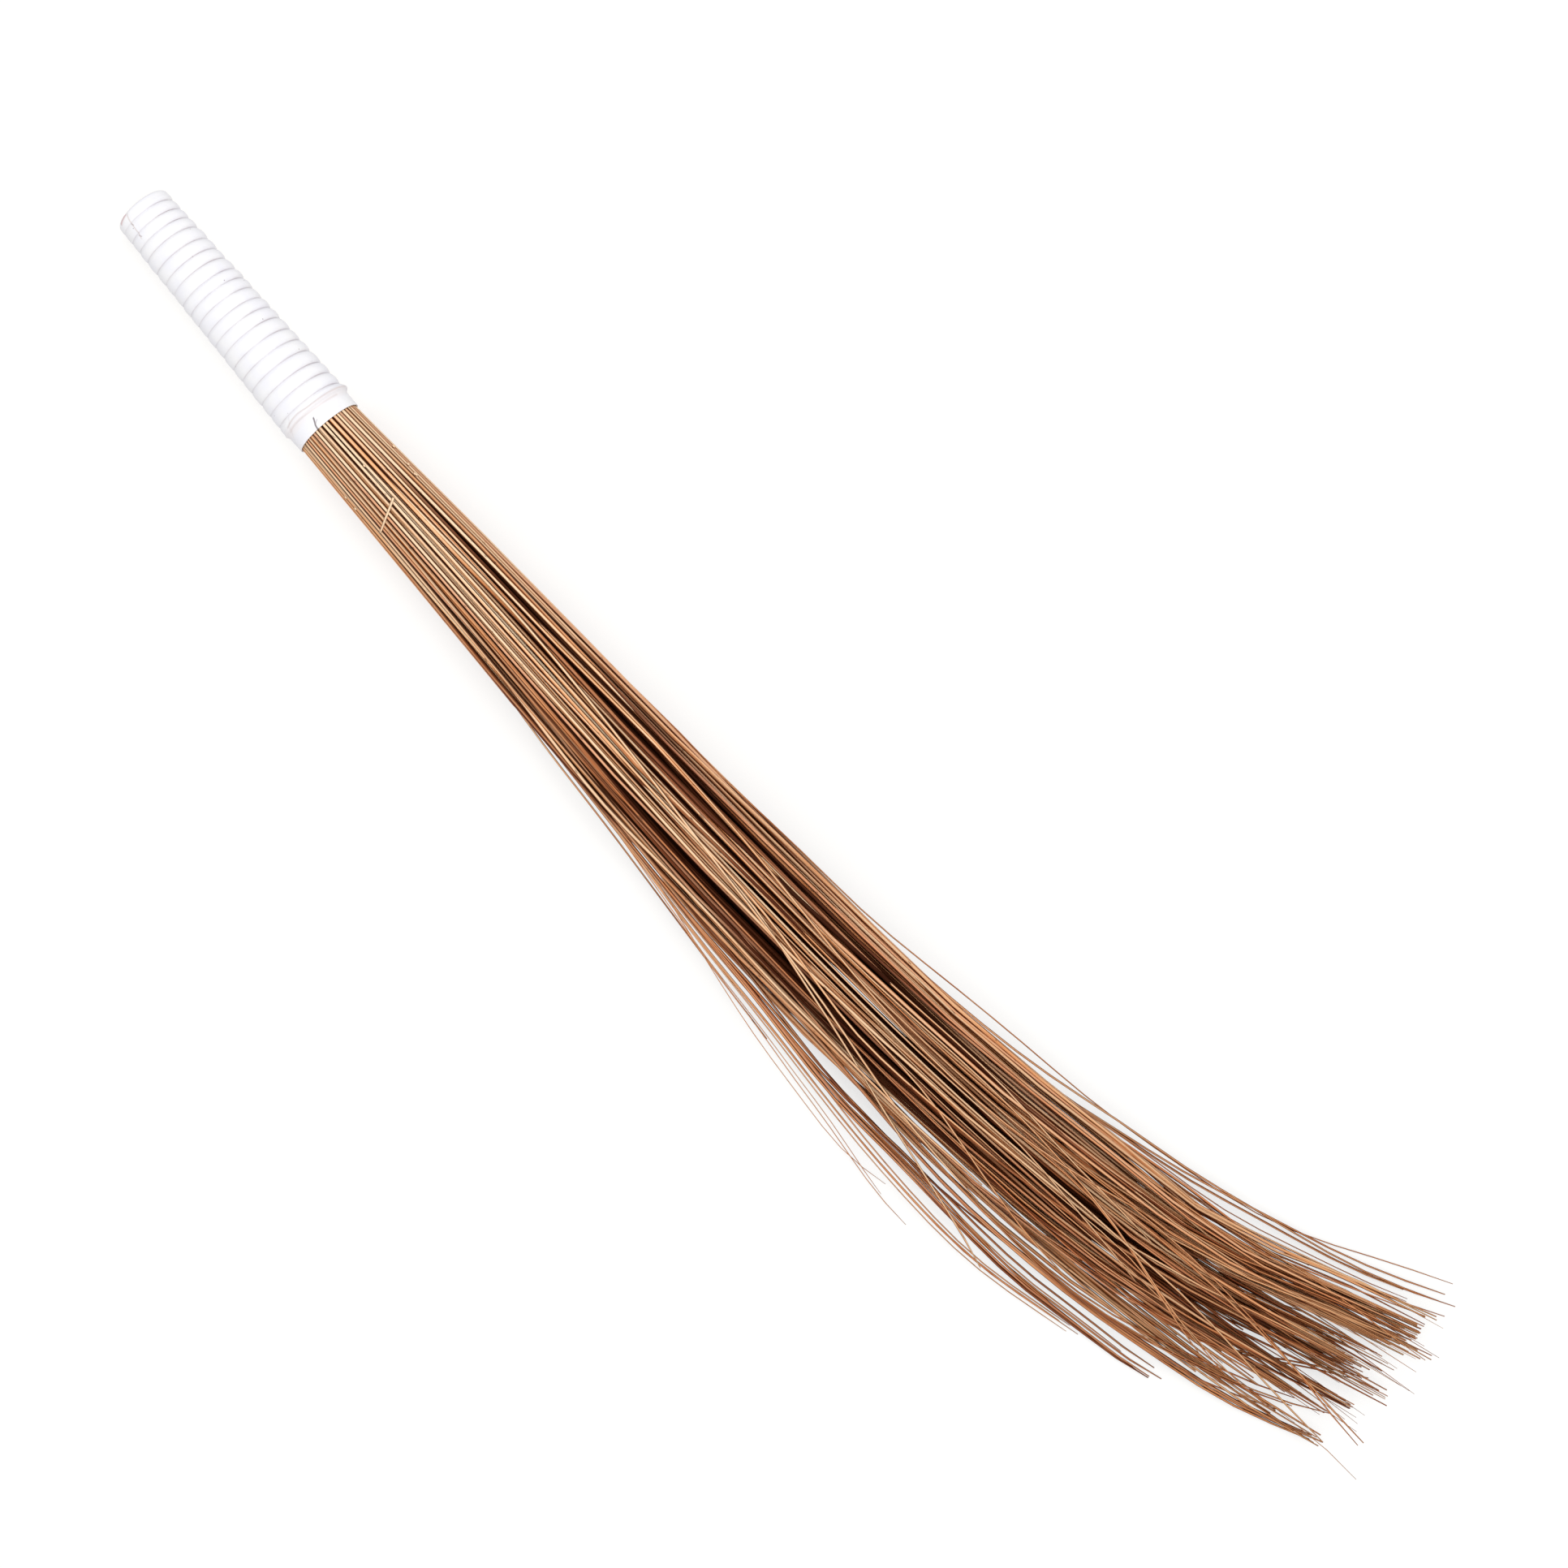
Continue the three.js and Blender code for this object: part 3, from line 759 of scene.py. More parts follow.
def map_skin(piece: bpy.types.Object, **maps: np.ndarray) -> None:
    """Gives a piece its named UV maps, each from rows of two numbers, one row for each corner."""
    corners = np.zeros(len(piece.data.loops), np.int32)
    piece.data.loops.foreach_get("vertex_index", corners)
    for name, values in maps.items():
        piece.data.uv_layers.new(name=name).data.foreach_set("uv", values[corners].astype(np.float32).ravel())


def turn_out() -> None:
    """Turns all faces of the piece in edit mode outwards, and leaves edit mode."""
    bpy.ops.mesh.select_all(action="SELECT")
    bpy.ops.mesh.normals_make_consistent(inside=False)
    bpy.ops.object.mode_set(mode="OBJECT")


def dress(piece: bpy.types.Object, material: bpy.types.Material, slot: Slot, *nodes: str) -> None:
    """Gives a finished piece its material, attaches it to the body and hides the CAD nodes that it stands for."""
    piece.data.materials.clear()
    piece.data.materials.append(material)
    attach(piece, BODY)
    if nodes:
        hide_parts(*nodes)
    LOG.info("%s: %d faces", piece.name, len(piece.data.polygons))


# The sticks


@dataclass
class Blank:
    """One straight stick: a six-sided rod cut into rows, that every stick is bent and tapered from."""

    sides: int = 6
    rows: int = 16
    faces: list[tuple[int, ...]] = field(init=False)
    row: np.ndarray = field(init=False)
    angle: np.ndarray = field(init=False)
    around: list[tuple[int, ...]] = field(init=False)

    def __post_init__(self) -> None:
        """Models the rod and reads its faces, and each corner's row and angle."""
        deselect()
        bpy.ops.mesh.primitive_cylinder_add(vertices=self.sides, radius=1, depth=1, location=(0, 0, 0.5))
        rod = bpy.context.object
        bpy.ops.object.mode_set(mode="EDIT")
        bpy.ops.mesh.select_all(action="DESELECT")
        bpy.ops.mesh.select_mode(type="EDGE")
        shape = bmesh.from_edit_mesh(rod.data)
        for edge in shape.edges:
            low, high = (corner.co.z for corner in edge.verts)
            edge.select = abs(high - low) > 0.5
        bmesh.update_edit_mesh(rod.data)
        bpy.ops.mesh.subdivide(number_cuts=self.rows - 2)
        bpy.ops.object.mode_set(mode="OBJECT")
        corners = np.array([tuple(corner.co) for corner in rod.data.vertices])
        self.row = np.rint((corners[:, 2] - corners[:, 2].min()) * (self.rows - 1)).astype(int)
        self.angle = np.arctan2(corners[:, 1], corners[:, 0])
        step = np.rint(self.angle / FULL_TURN * self.sides - 0.5).astype(int) % self.sides
        self.faces = [tuple(face.vertices) for face in rod.data.polygons]
        self.around = []
        for numbers in self.faces:
            steps = [int(step[number]) for number in numbers]
            if len(set(steps)) == 2 and max(steps) - min(steps) > 1:
                steps = [value if value else self.sides for value in steps]
            self.around.append(tuple(steps))
        bpy.data.objects.remove(rod)


@dataclass
class Stick:
    """One stick as a line with a width, in millimetres in the handle's own lengths.

    Outward and light say for each row which way is out of the bundle and how much light gets there, which the
    finish paints into the colour as shade. Softness is how little the painted shade darkens the stick's flanks.
    """

    line: np.ndarray
    width: np.ndarray
    tone: float
    hue: float
    roll: float
    flatness: float
    outward: np.ndarray
    light: np.ndarray
    softness: float = 0.0


@dataclass
class StickPiece:
    """Sticks of one piece, bent from the blank into one mesh."""

    name: str
    blank: Blank
    sticks: list[Stick] = field(default_factory=list)
    oldest: float = 950.0
    # flank, brow and least shape the painted shade on each stick's flanks; lamp is the direction of its painted
    # highlight.
    flank: float = -0.05
    brow: float = 0.64
    least: float = 0.08
    lamp: Triple = (-0.05, 0.28, 0.96)
    skin_step: Pair = (0.37, 0.13)
    skin_tone_step: float = 7.0

    def build(self) -> bpy.types.Object:
        """Bends a copy of the blank along each stick's line.

        Returns:
            The piece.
        """
        corners, faces, skin, marks, painted_highlights = [], [], [], [], []
        row = self.blank.row
        for number, stick in enumerate(self.sticks):
            shape = self.section(stick)
            bent = stick.line[row] + shape
            bent[:, 2] = np.maximum(bent[:, 2], FLOOR_GAP)
            first = len(corners) * len(row)
            corners.append(bent)
            faces += [tuple(first + corner for corner in face) for face in self.blank.faces]
            skin += self.skin(number, stick)
            shades, crest = self.shades(stick, shape)
            marks.append(shades)
            painted_highlights.append(crest)
        piece = mesh_piece(self.name, placed(np.vstack(corners)), faces)
        layer = piece.data.uv_layers.new(name="skin")
        layer.data.foreach_set("uv", np.array(skin, np.float32).ravel())
        colour = piece.data.color_attributes.new("midrib", "FLOAT_COLOR", "POINT")
        colour.data.foreach_set("color", np.vstack(marks).astype(np.float32).ravel())
        # The crest attribute is the painted highlight: how much each corner faces the lamp.
        facing = piece.data.attributes.new("crest", "FLOAT", "POINT")
        facing.data.foreach_set("value", np.concatenate(painted_highlights).astype(np.float32))
        active(piece)
        bpy.ops.object.shade_smooth()
        return piece

    def section(self, stick: Stick) -> np.ndarray:
        """Finds how far from a stick's line each of the blank's corners stands."""
        row, turned = self.blank.row, self.blank.angle
        ahead = np.gradient(stick.line, axis=0)
        ahead /= np.linalg.norm(ahead, axis=1)[:, None]
        side = np.cross(UP, ahead)
        side /= np.linalg.norm(side, axis=1)[:, None]
        top = np.cross(ahead, side)
        wide = stick.width[row] / 2
        flat = np.cos(turned) * wide
        thick = np.sin(turned) * wide * stick.flatness
        cos, sin = math.cos(stick.roll), math.sin(stick.roll)
        return (flat * cos - thick * sin)[:, None] * side[row] + (flat * sin + thick * cos)[:, None] * top[row]

    def skin(self, number: int, stick: Stick) -> list[Pair]:
        """Lays a stick's skin out flat for each corner of each face, at a spot of its own."""
        steps = lengths_along(stick.line)
        girth = math.pi * stick.width.max() * MM / self.blank.sides
        aside, ahead = (number * step for step in self.skin_step)
        return [
            (step * girth + aside, steps[self.blank.row[corner]] * MM + stick.tone * self.skin_tone_step + ahead)
            for face, around in zip(self.blank.faces, self.blank.around)
            for step, corner in zip(around, face)
        ]

    def shades(self, stick: Stick, shape: np.ndarray) -> tuple[np.ndarray, np.ndarray]:
        """Works out what the finish reads at a stick's corners.

        Args:
            stick: The stick.
            shape: Each corner's offset from the line.

        Returns:
            The tone, age, hue and painted shade of each corner, and how much it faces the lamp, for a painted
            highlight.
        """
        row = self.blank.row
        age = np.clip(stick.line[row, 0] / self.oldest, 0, 1)
        facing = unit(shape)
        # Painted shade: corners that face into the bundle, and sticks with little light, darken in the colour.
        open_share = smooth((np.sum(facing * stick.outward[row], axis=1) + self.flank) / (self.flank + self.brow))
        shade = (stick.softness + (1 - stick.softness) * np.maximum(open_share, self.least)) * stick.light[row]
        even = np.ones(len(row))
        marks = np.stack([stick.tone * even, age, stick.hue * even, shade], 1)
        return marks, np.clip(facing @ self.lamp, 0, 1) * stick.light[row]


@dataclass(frozen=True)
class Ease:
    """A stretch along which something sets in: where it starts and how long it takes, in millimetres."""

    start: float
    run: float

    def at(self, place: Amount) -> Amount:
        """How far it has set in at a place, from 0 to 1."""
        return smooth((place - self.start) / self.run)


@dataclass(frozen=True)
class Tuft:
    """A group of sticks whose tips end together: its end's pixel, its share of the sticks and its looseness."""

    across: float
    down: float
    weight: float
    height: float = 8.0
    loose: float = 5.0


@dataclass
class Bundle:
    """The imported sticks: tight in the handle, fanning out and sweeping to one side in the brush.

    The fan's lows, highs and tops are its outline at its places. Valleys and grooves are the photograph's long
    dark lines, by their pixels. An ease whose start is below 0 is measured from a stick's tip, but parting from
    a valley's start. Joining says how far past a valley's end the sticks have joined, and over what length.
    """

    count: int = 245
    seed: int = 11
    clumps: int = 13
    clump_reach: float = 0.92
    clump_pull: float = 0.3
    clump_spread: Triple = (0.03, 0.05, 0.1)
    lean: float = 1.9
    radius: float = 1.06
    radius_spread: float = 0.19
    radius_limits: Pair = (0.7, 1.6)
    outer_growth: float = 0.14
    butt_share: float = 0.44
    butt_squeeze: float = 0.96
    butt_start: Pair = (1.3, 0.9)
    short_start: Pair = (18, 110)
    least_inside: float = 10.0
    places: Floats = (160, 212, 266, 400, 505, 567, 618, 670, 732, 776, 823, 858, 913, 981)
    lows: Floats = (
        *(-19.2, -20.4, -21.4, -24.2, -23.1, -19.9, -16.7),
        *(-13.3, -7.0, 0.0, 10.1, 17.0, 29.3, 53.1),
    )
    highs: Floats = (19.2, 23.4, 27.8, 37.0, 45.0, 49.6, 54.2, 61.0, 73.0, 80.5, 90.0, 103.0, 129.0, 154.0)
    tops: Floats = (39.6, 40.6, 41.4, 42.6, 43.2, 43.2, 42.4, 41.0, 38.6, 36.6, 34.4, 32.6, 29, 25)
    thin_places: Floats = (0, 300, 450, 560, 700, 800, 900, 970)
    thin_shares: Floats = (1.0, 1.0, 0.98, 0.94, 0.82, 0.7, 0.56, 0.42)
    short_share: float = 0.3
    short_reach: float = 16.0
    tip_reach: float = 1.8
    tip_aside: float = 0.9
    tip_lift: float = 0.35
    tip_mixing: float = 0.2
    tip_slope: float = 0.33
    whisker_share: float = 0.16
    whisker_taper: Pair = (0.6, 0.35)
    whisker_reach: Pair = (6, 22)
    whisker_aside: Pair = (1, 9)
    end_taper: float = 0.6
    width_spread: float = 0.03
    crossing_share: float = 0.07
    under_share: float = 0.75
    under_lane: float = -0.25
    upper_lane: float = 0.1
    # Some sticks get softer painted shade on their flanks.
    soft_share: float = 0.4
    softness: Pair = (0.3, 0.7)
    # Some sticks get painted shade over a stretch of their length.
    shaded_stick_share: float = 0.26
    shaded_stick_depth: float = 0.88
    shaded_stick_place: Pair = (180, 700)
    shaded_stick_length: Pair = (60, 170)
    tone: Pair = (0.57, 0.22)
    flatness: Pair = (0.72, 0.95)
    most_roll: float = 0.6
    edge_share: float = 0.96
    edge_pull: float = 0.75
    collar: Ease = Ease(140, 22)
    loosening: Ease = Ease(190, 260)
    freeing: Ease = Ease(190, 250)
    tip_hold: Ease = Ease(-230, 230)
    tip_calm: Ease = Ease(-60, 60)
    edge_release: Ease = Ease(-130, 130)
    spreading: Ease = Ease(430, 420)
    thinning_out: Ease = Ease(720, 220)
    parting: Ease = Ease(-60, 160)
    joining: Pair = (60, 120)
    wave: Pair = (240, 560)
    sway: float = 0.04
    crossing: float = 0.12
    crossing_start: float = 420
    drift: float = 0.16
    hold_shares: Pair = (0.35, 0.65)
    hold_start: float = 330
    hold_trim: float = 480
    calm: float = 0.6
    # dark_reach, dark_edge, least_light and upturn shape the painted shade of the sticks deep in the bundle.
    dark_reach: float = 0.55
    dark_edge: Pair = (0.36, 0.12)
    least_light: Triple = (0.06, 0.3, 0.5)
    upturn: float = 3
    lift: float = 0.3
    rest: Pair = (0.86, 0.03)
    tone_limits: Pair = (0.02, 1)
    most_up: float = 1.04
    least_room: float = 0.02
    part_softness: float = 0.03
    valley_half: float = 1.9
    valley_level: float = 24.0
    groove_half: float = 1.15
    groove_level: float = 38.0
    valleys: tuple[Knots, ...] = (
        (
            *((852, 1000), (918, 1081), (969, 1135), (1015, 1178), (1071, 1235), (1122, 1281), (1165, 1330)),
            *((1218, 1386), (1259, 1417), (1308, 1465), (1371, 1514), (1417, 1549), (1480, 1586)),
        ),
        (
            *((1010, 1255), (1059, 1314), (1097, 1352), (1137, 1395), (1183, 1440), (1229, 1478)),
            *((1264, 1501), (1333, 1554), (1371, 1590), (1407, 1613)),
        ),
    )
    grooves: tuple[Knots, ...] = (
        ((452, 542), (490, 577), (527, 620), (568, 663), (608, 706)),
        ((511, 700), (544, 735), (570, 765), (608, 813), (643, 850), (670, 890)),
        ((486, 619), (525, 657), (562, 703), (597, 741), (629, 773), (688, 837), (740, 900)),
        ((581, 663), (621, 706), (661, 749), (696, 789), (760, 856), (830, 930)),
        ((637, 762), (675, 800), (715, 845), (750, 880), (800, 940)),
        ((873, 1005), (906, 1031), (939, 1066), (970, 1102), (985, 1125)),
        ((773, 1005), (814, 1051), (862, 1102), (900, 1140)),
    )
    rows: Floats = (0.0, 140, 162.9, 200, 270, 350, 430, 510, 585, 655, 720, 780, 835, 885, 930, 975)
    layer_edges: tuple[tuple[Layer, float], ...] = (
        (Layer.CORE, 0.25),
        (Layer.INNER, 0.45),
        (Layer.MIDDLE, 0.7),
        (Layer.OUTER, 9.0),
    )
    tufts: tuple[Tuft, ...] = (
        Tuft(1768, 1630, 6, 12, 6),
        Tuft(1750, 1647, 28, 14, 6),
        Tuft(1771, 1680, 10, 8, 8),
        Tuft(1733, 1664, 24, 16, 7),
        Tuft(1723, 1684, 16, 12, 7),
        Tuft(1670, 1680, 30, 18, 7),
        Tuft(1685, 1697, 12, 12, 6),
        Tuft(1712, 1726, 11, 6, 6),
        Tuft(1667, 1736, 20, 10, 5),
        Tuft(1634, 1741, 4, 7, 5),
        Tuft(1604, 1722, 10, 11, 4),
        Tuft(1571, 1738, 4, 6, 5),
        Tuft(1600, 1650, 16, 15, 22),
        Tuft(1560, 1690, 8, 10, 14),
        Tuft(1500, 1680, 8, 6, 14),
        Tuft(1626, 1775, 6, 3, 4),
    )

    def middle(self, along: Amount) -> np.ndarray:
        """The fan's middle line across the broom."""
        return (self._eased(along, self.highs) + self._eased(along, self.lows)) / 2

    def half(self, along: Amount) -> np.ndarray:
        """Half the fan's width."""
        return (self._eased(along, self.highs) - self._eased(along, self.lows)) / 2

    def top(self, along: Amount) -> np.ndarray:
        """The fan's highest point."""
        return self._eased(along, self.tops)

    def _eased(self, along: Amount, values: Floats) -> np.ndarray:
        """Reads a smooth line through values at the fan's named places."""
        places = np.array(self.places)
        heights = np.array(values)
        slopes = np.gradient(heights, places)
        along = np.atleast_1d(np.asarray(along, float))
        held = np.clip(along, places[0], places[-1])
        start = np.clip(np.searchsorted(places, held) - 1, 0, len(places) - 2)
        run = places[start + 1] - places[start]
        part = (held - places[start]) / run
        return (
            heights[start] * (1 + 2 * part) * (1 - part) ** 2
            + slopes[start] * run * part * (1 - part) ** 2
            + heights[start + 1] * part**2 * (3 - 2 * part)
            + slopes[start + 1] * run * part**2 * (part - 1)
        )

    def shares(self, spot: np.ndarray) -> Pair:
        """Finds a point's shares across the fan and up it, from -1 to 1 inside it."""
        half_top = self.top(spot[0])[0] / 2
        side = (spot[1] - self.middle(spot[0])[0]) / self.half(spot[0])[0]
        return float(side), float((spot[2] - half_top) / half_top)

    @staticmethod
    def settle(spots: np.ndarray, radii: np.ndarray, room: float, rounds: int = 260) -> np.ndarray:
        """Pushes round spots apart until they share a circle, and returns their new middles."""
        spots = spots.copy()
        for _ in range(rounds):
            gap = spots[:, None] - spots[None]
            far = np.linalg.norm(gap, axis=2) + np.eye(len(spots)) * 99
            press = np.clip(radii[:, None] + radii[None] - far, 0, None) * 0.5
            spots += (gap / far[..., None] * press[..., None]).sum(1) * 0.8
            out = np.linalg.norm(spots, axis=1)
            limit = room - radii
            spots *= np.where(out > limit, limit / np.maximum(out, 1e-6), 1.0)[:, None]
        return spots

    def sticks(self) -> dict[Layer, list[Stick]]:
        """Works out every packed stick, sorted by layer."""
        rng = np.random.default_rng(self.seed)
        packed = HANDLE.bundle(HANDLE.packed_end)
        start = np.sqrt(rng.random(self.count)) * packed
        radii = self.radius + self.outer_growth * start / packed + rng.normal(0, self.radius_spread, self.count)
        radii = np.clip(radii, *self.radius_limits)
        turned = rng.random(self.count) * FULL_TURN
        seeds = np.stack([start * np.cos(turned), start * np.sin(turned)], 1)
        spots = self.settle(seeds, radii, packed)
        butt_room = HANDLE.bundle(0.0) - self.lean
        reach = rng.random(self.count) < self.butt_share
        near = spots * butt_room / packed
        near[reach] = self.settle(near[reach], radii[reach] * self.butt_squeeze, butt_room)
        first, spread = self.butt_start
        at_butt = first + rng.random(self.count) * spread
        starts = np.where(reach, at_butt, rng.uniform(*self.short_start, self.count))
        shares = spots / packed
        tips = self.tips(rng, shares)
        gathered = self.gathered(rng, shares)
        layers: dict[Layer, list[Stick]] = {layer: [] for layer in Layer}
        for number in range(self.count):
            own = (shares[number], gathered[number], near[number])
            stick = self.stick(rng, own, starts[number], radii[number], tips[number])
            out = float(np.linalg.norm(shares[number]))
            layer = next(layer for layer, edge in self.layer_edges if out <= edge)
            layers[layer].append(stick)
        return layers

    def gathered(self, rng: Rng, shares: np.ndarray) -> np.ndarray:
        """Draws the sticks towards clumps, which leave long dark valleys between them in the brush."""
        clump, own, up = self.clump_spread
        centres = np.linspace(-self.clump_reach, self.clump_reach, self.clumps) + rng.normal(0, clump, self.clumps)
        off = shares[:, 0][:, None] + rng.normal(0, own, (len(shares), 1)) - centres[None]
        nearest = centres[np.abs(off).argmin(1)]
        drawn = shares.copy()
        drawn[:, 0] += (nearest - shares[:, 0]) * self.clump_pull
        drawn[:, 1] += rng.normal(0, up, len(shares))
        return drawn

    def tips(self, rng: Rng, shares: np.ndarray) -> np.ndarray:
        """Shares the tufts out among the sticks, those on one side to the tufts on that side.

        Args:
            rng: The random source.
            shares: Each stick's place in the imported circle.

        Returns:
            Each stick's tip in millimetres, in the handle's own lengths.
        """
        ends = []
        for tuft in self.tufts:
            spot = PHOTO.at(tuft.across, tuft.down, tuft.height) - HANDLE.root
            ends.append((self.shares(spot)[0], tuft))
        ends.sort(key=lambda pair: pair[0])
        weights = np.array([tuft.weight for _, tuft in ends])
        counts = np.floor(np.cumsum(weights) / weights.sum() * len(shares)).astype(int)
        order = np.argsort(shares[:, 0] + rng.normal(0, self.tip_mixing, len(shares)))
        tips = np.zeros((len(shares), 3))
        for rank, number in enumerate(order):
            tuft = ends[int(np.searchsorted(counts, rank, side="right"))][1]
            short = rng.random() < self.short_share
            reach = -abs(rng.normal(0, (self.short_reach if short else self.tip_reach) * tuft.loose))
            aside = rng.normal(0, self.tip_aside * tuft.loose) * PHOTO.scale
            lift = max(1.0, tuft.height + rng.normal(0, self.tip_lift * tuft.height))
            spot = PHOTO.at(tuft.across, tuft.down, lift) - HANDLE.root
            spot += np.array([-self.tip_slope * aside, aside, 0.0])
            share = self.shares(spot)[0]
            along = spot[0] + reach * PHOTO.scale
            tips[number] = (along, self.middle(along)[0] + share * self.half(along)[0], lift)
        return tips

    def valley_lines(self, high: bool) -> list[tuple[np.ndarray, np.ndarray, float]]:
        """Finds the lines that the sticks keep clear of, for a high stick those in the fan's top too."""
        found = [(pixels, self.valley_level, self.valley_half) for pixels in self.valleys]
        if high:
            found += [(pixels, self.groove_level, self.groove_half) for pixels in self.grooves]
        lines = []
        for pixels, level, half in found:
            spots = np.array([PHOTO.at(across, down, level) - HANDLE.root for across, down in pixels])
            lines.append((spots[:, 0], (spots[:, 1] - self.middle(spots[:, 0])) / self.half(spots[:, 0]), half))
        return lines

    def parted(self, rows: np.ndarray, side: np.ndarray, high: bool) -> np.ndarray:
        """Keeps a stick on its own side of the valleys.

        Args:
            rows: Places along the broom.
            side: The stick's share across the fan at each.
            high: Whether the stick lies in the fan's upper part.

        Returns:
            Its new shares.
        """
        lead, run = self.joining
        for places, shares, half in self.valley_lines(high):
            middle = np.interp(rows, places, shares)
            ease = self.parting.at(rows - places[0]) * smooth((places[-1] + lead - rows) / run)
            near = (rows > places[0]) & (rows < places[-1])
            if not near.any():
                continue
            ahead = 1.0 if np.mean((side - middle)[near]) > 0 else -1.0
            room = half / self.half(rows)
            off = ahead * (side - middle)
            kept = room + 0.5 * ((off - room) + np.sqrt((off - room) ** 2 + self.part_softness**2))
            side = side + ahead * (kept - off) * ease
        return side

    def course(
        self, rng: Rng, share: np.ndarray, drawn: np.ndarray, rows: np.ndarray, tip: np.ndarray
    ) -> tuple[np.ndarray, np.ndarray]:
        """Draws a stick's course through the fan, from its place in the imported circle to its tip.

        Args:
            rng: The random source.
            share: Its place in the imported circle.
            drawn: Its place among the clumps.
            rows: Places along the broom.
            tip: Its tip in the handle's own lengths.

        Returns:
            Its shares across the fan and up it at those places.
        """
        end = tip[0]
        loosened = self.loosening.at(rows)
        lane, lane_up = (share[axis] + (drawn[axis] - share[axis]) * loosened for axis in (0, 1))
        early, late = self.hold_shares
        hold = Ease(self.hold_start, end - self.hold_trim)
        held = early * hold.at(rows) + late * self.tip_hold.at(rows - end)
        tip_side, tip_up = self.shares(tip)
        wave = rng.uniform(*self.wave)
        free = self.freeing.at(rows)
        away = 1 - self.tip_calm.at(rows - end) * self.calm
        sway = rng.normal(0, self.sway) * np.sin(FULL_TURN * (rows / wave + rng.random()))
        part = np.clip((rows - self.crossing_start) / (end - self.crossing_start), 0, 1)
        crossing = rng.normal(0, self.crossing) * np.sin(math.pi * part)
        side = lane + (tip_side - lane) * held + (sway + crossing) * free * away
        limit = self.edge_share + self.edge_release.at(rows - end)
        side = side - np.sign(side) * self.edge_pull * np.clip(np.abs(side) - limit, 0, None)
        under = lane_up.max() < self.under_lane and rng.random() < self.under_share
        if rng.random() > self.crossing_share and not under:
            side = self.parted(rows, side, lane_up.max() > self.upper_lane)
        drift = rng.normal(0, self.drift) * np.sin(math.pi * held) * free
        up = lane_up + (np.clip(tip_up, -1, 1) - lane_up) * held + drift
        room = np.sqrt(np.clip(1 - np.clip(side, -1, 1) ** 2, self.least_room, 1))
        return side, np.clip(up, -room, room * self.most_up)

    def lighting(
        self, rng: Rng, rows: np.ndarray, side: np.ndarray, up: np.ndarray, tops: np.ndarray
    ) -> tuple[np.ndarray, np.ndarray]:
        """Works out which way is out of the bundle along a stick, and how much light gets there, for the painted
        shade.

        Args:
            rng: The random source.
            rows: Places along the broom.
            side: The stick's shares across the fan.
            up: Its shares up the fan.
            tops: Half the fan's height at each place.

        Returns:
            The outward directions and the light from 0 to 1.
        """
        outward = unit(np.stack([np.zeros(len(rows)), side / self.half(rows), up / tops], 1))
        spread = self.spreading.at(rows)
        edge, wider = self.dark_edge
        light = smooth((np.hypot(side, up) - self.dark_reach * (1 - spread)) / (edge + wider * spread))
        least, fanned, thinned = self.least_light
        light = np.maximum(light, least + fanned * spread + thinned * self.thinning_out.at(rows))
        outward += UP * (self.upturn * spread)[:, None]
        # Painted shade over a stretch of the stick.
        if rng.random() < self.shaded_stick_share:
            painted_shade = bell(rows, rng.uniform(*self.shaded_stick_place), rng.uniform(*self.shaded_stick_length))
            light = light * (1 - self.shaded_stick_depth * painted_shade)
        return unit(outward), light

    def stick(
        self,
        rng: Rng,
        own: tuple[np.ndarray, np.ndarray, np.ndarray],
        start: float,
        radius: float,
        tip: np.ndarray,
    ) -> Stick:
        """Draws one stick from its butt to its tip.

        Args:
            rng: The random source.
            own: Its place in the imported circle, its place among the clumps and its place at the butt.
            start: Where it starts along the handle.
            radius: Its radius at the butt.
            tip: Its tip in the handle's own lengths.

        Returns:
            The stick.
        """
        share, drawn, near = own
        handle_end = HANDLE.packed_end
        rows = np.array(self.rows)
        stretched = handle_end + (rows - handle_end) * (tip[0] - handle_end) / (rows[-1] - handle_end)
        rows = np.where(rows <= handle_end, rows, stretched)
        rows[0] = start
        rows[1] = max(rows[1], start + self.least_inside)
        inside = np.clip(rows / handle_end, 0, 1)
        packed = HANDLE.bundle(handle_end)
        squeezed = (HANDLE.bundle(rows) - self.lean * (1 - self.collar.at(rows))) / packed
        mid_y, mid_z = (near[axis] * (1 - inside) + share[axis] * packed * squeezed * inside for axis in (0, 1))
        side, up = self.course(rng, share, drawn, rows, tip)
        tops = self.top(rows) / 2
        out = rows > handle_end
        across = np.where(out, self.middle(rows) + side * self.half(rows), mid_y)
        high = np.where(out, tops * (1 + up) + self.lift, HANDLE.height(rows) + mid_z)
        width = 2 * radius * np.interp(rows, self.thin_places, self.thin_shares)
        width = width * (1 + rng.normal(0, self.width_spread, len(rows)))
        width[-1] *= self.end_taper
        if rng.random() < self.whisker_share:
            width[-2:] *= self.whisker_taper
            rows[-1] += rng.uniform(*self.whisker_reach)
            rng.uniform(*self.whisker_aside)  # This draw only keeps the later ones in their order.
        part, gap = self.rest
        line = np.stack([rows, across, np.maximum(high, width / 2 * part + gap)], 1)
        tone = float(np.clip(rng.normal(*self.tone), *self.tone_limits))
        outward, light = self.lighting(rng, rows, side, up, tops)
        flatness = float(rng.uniform(*self.flatness))
        roll = float(rng.uniform(-self.most_roll, self.most_roll))
        softness = float(rng.uniform(*self.softness)) if rng.random() < self.soft_share else 0.0
        return Stick(line, width, tone, float(rng.random()), roll, flatness, outward, light, softness)


class Lay(Enum):
    """Where a loose stick lies: beside the fan, sinking to the floor, or over its top."""

    ASIDE = "aside"
    OVER = "over"


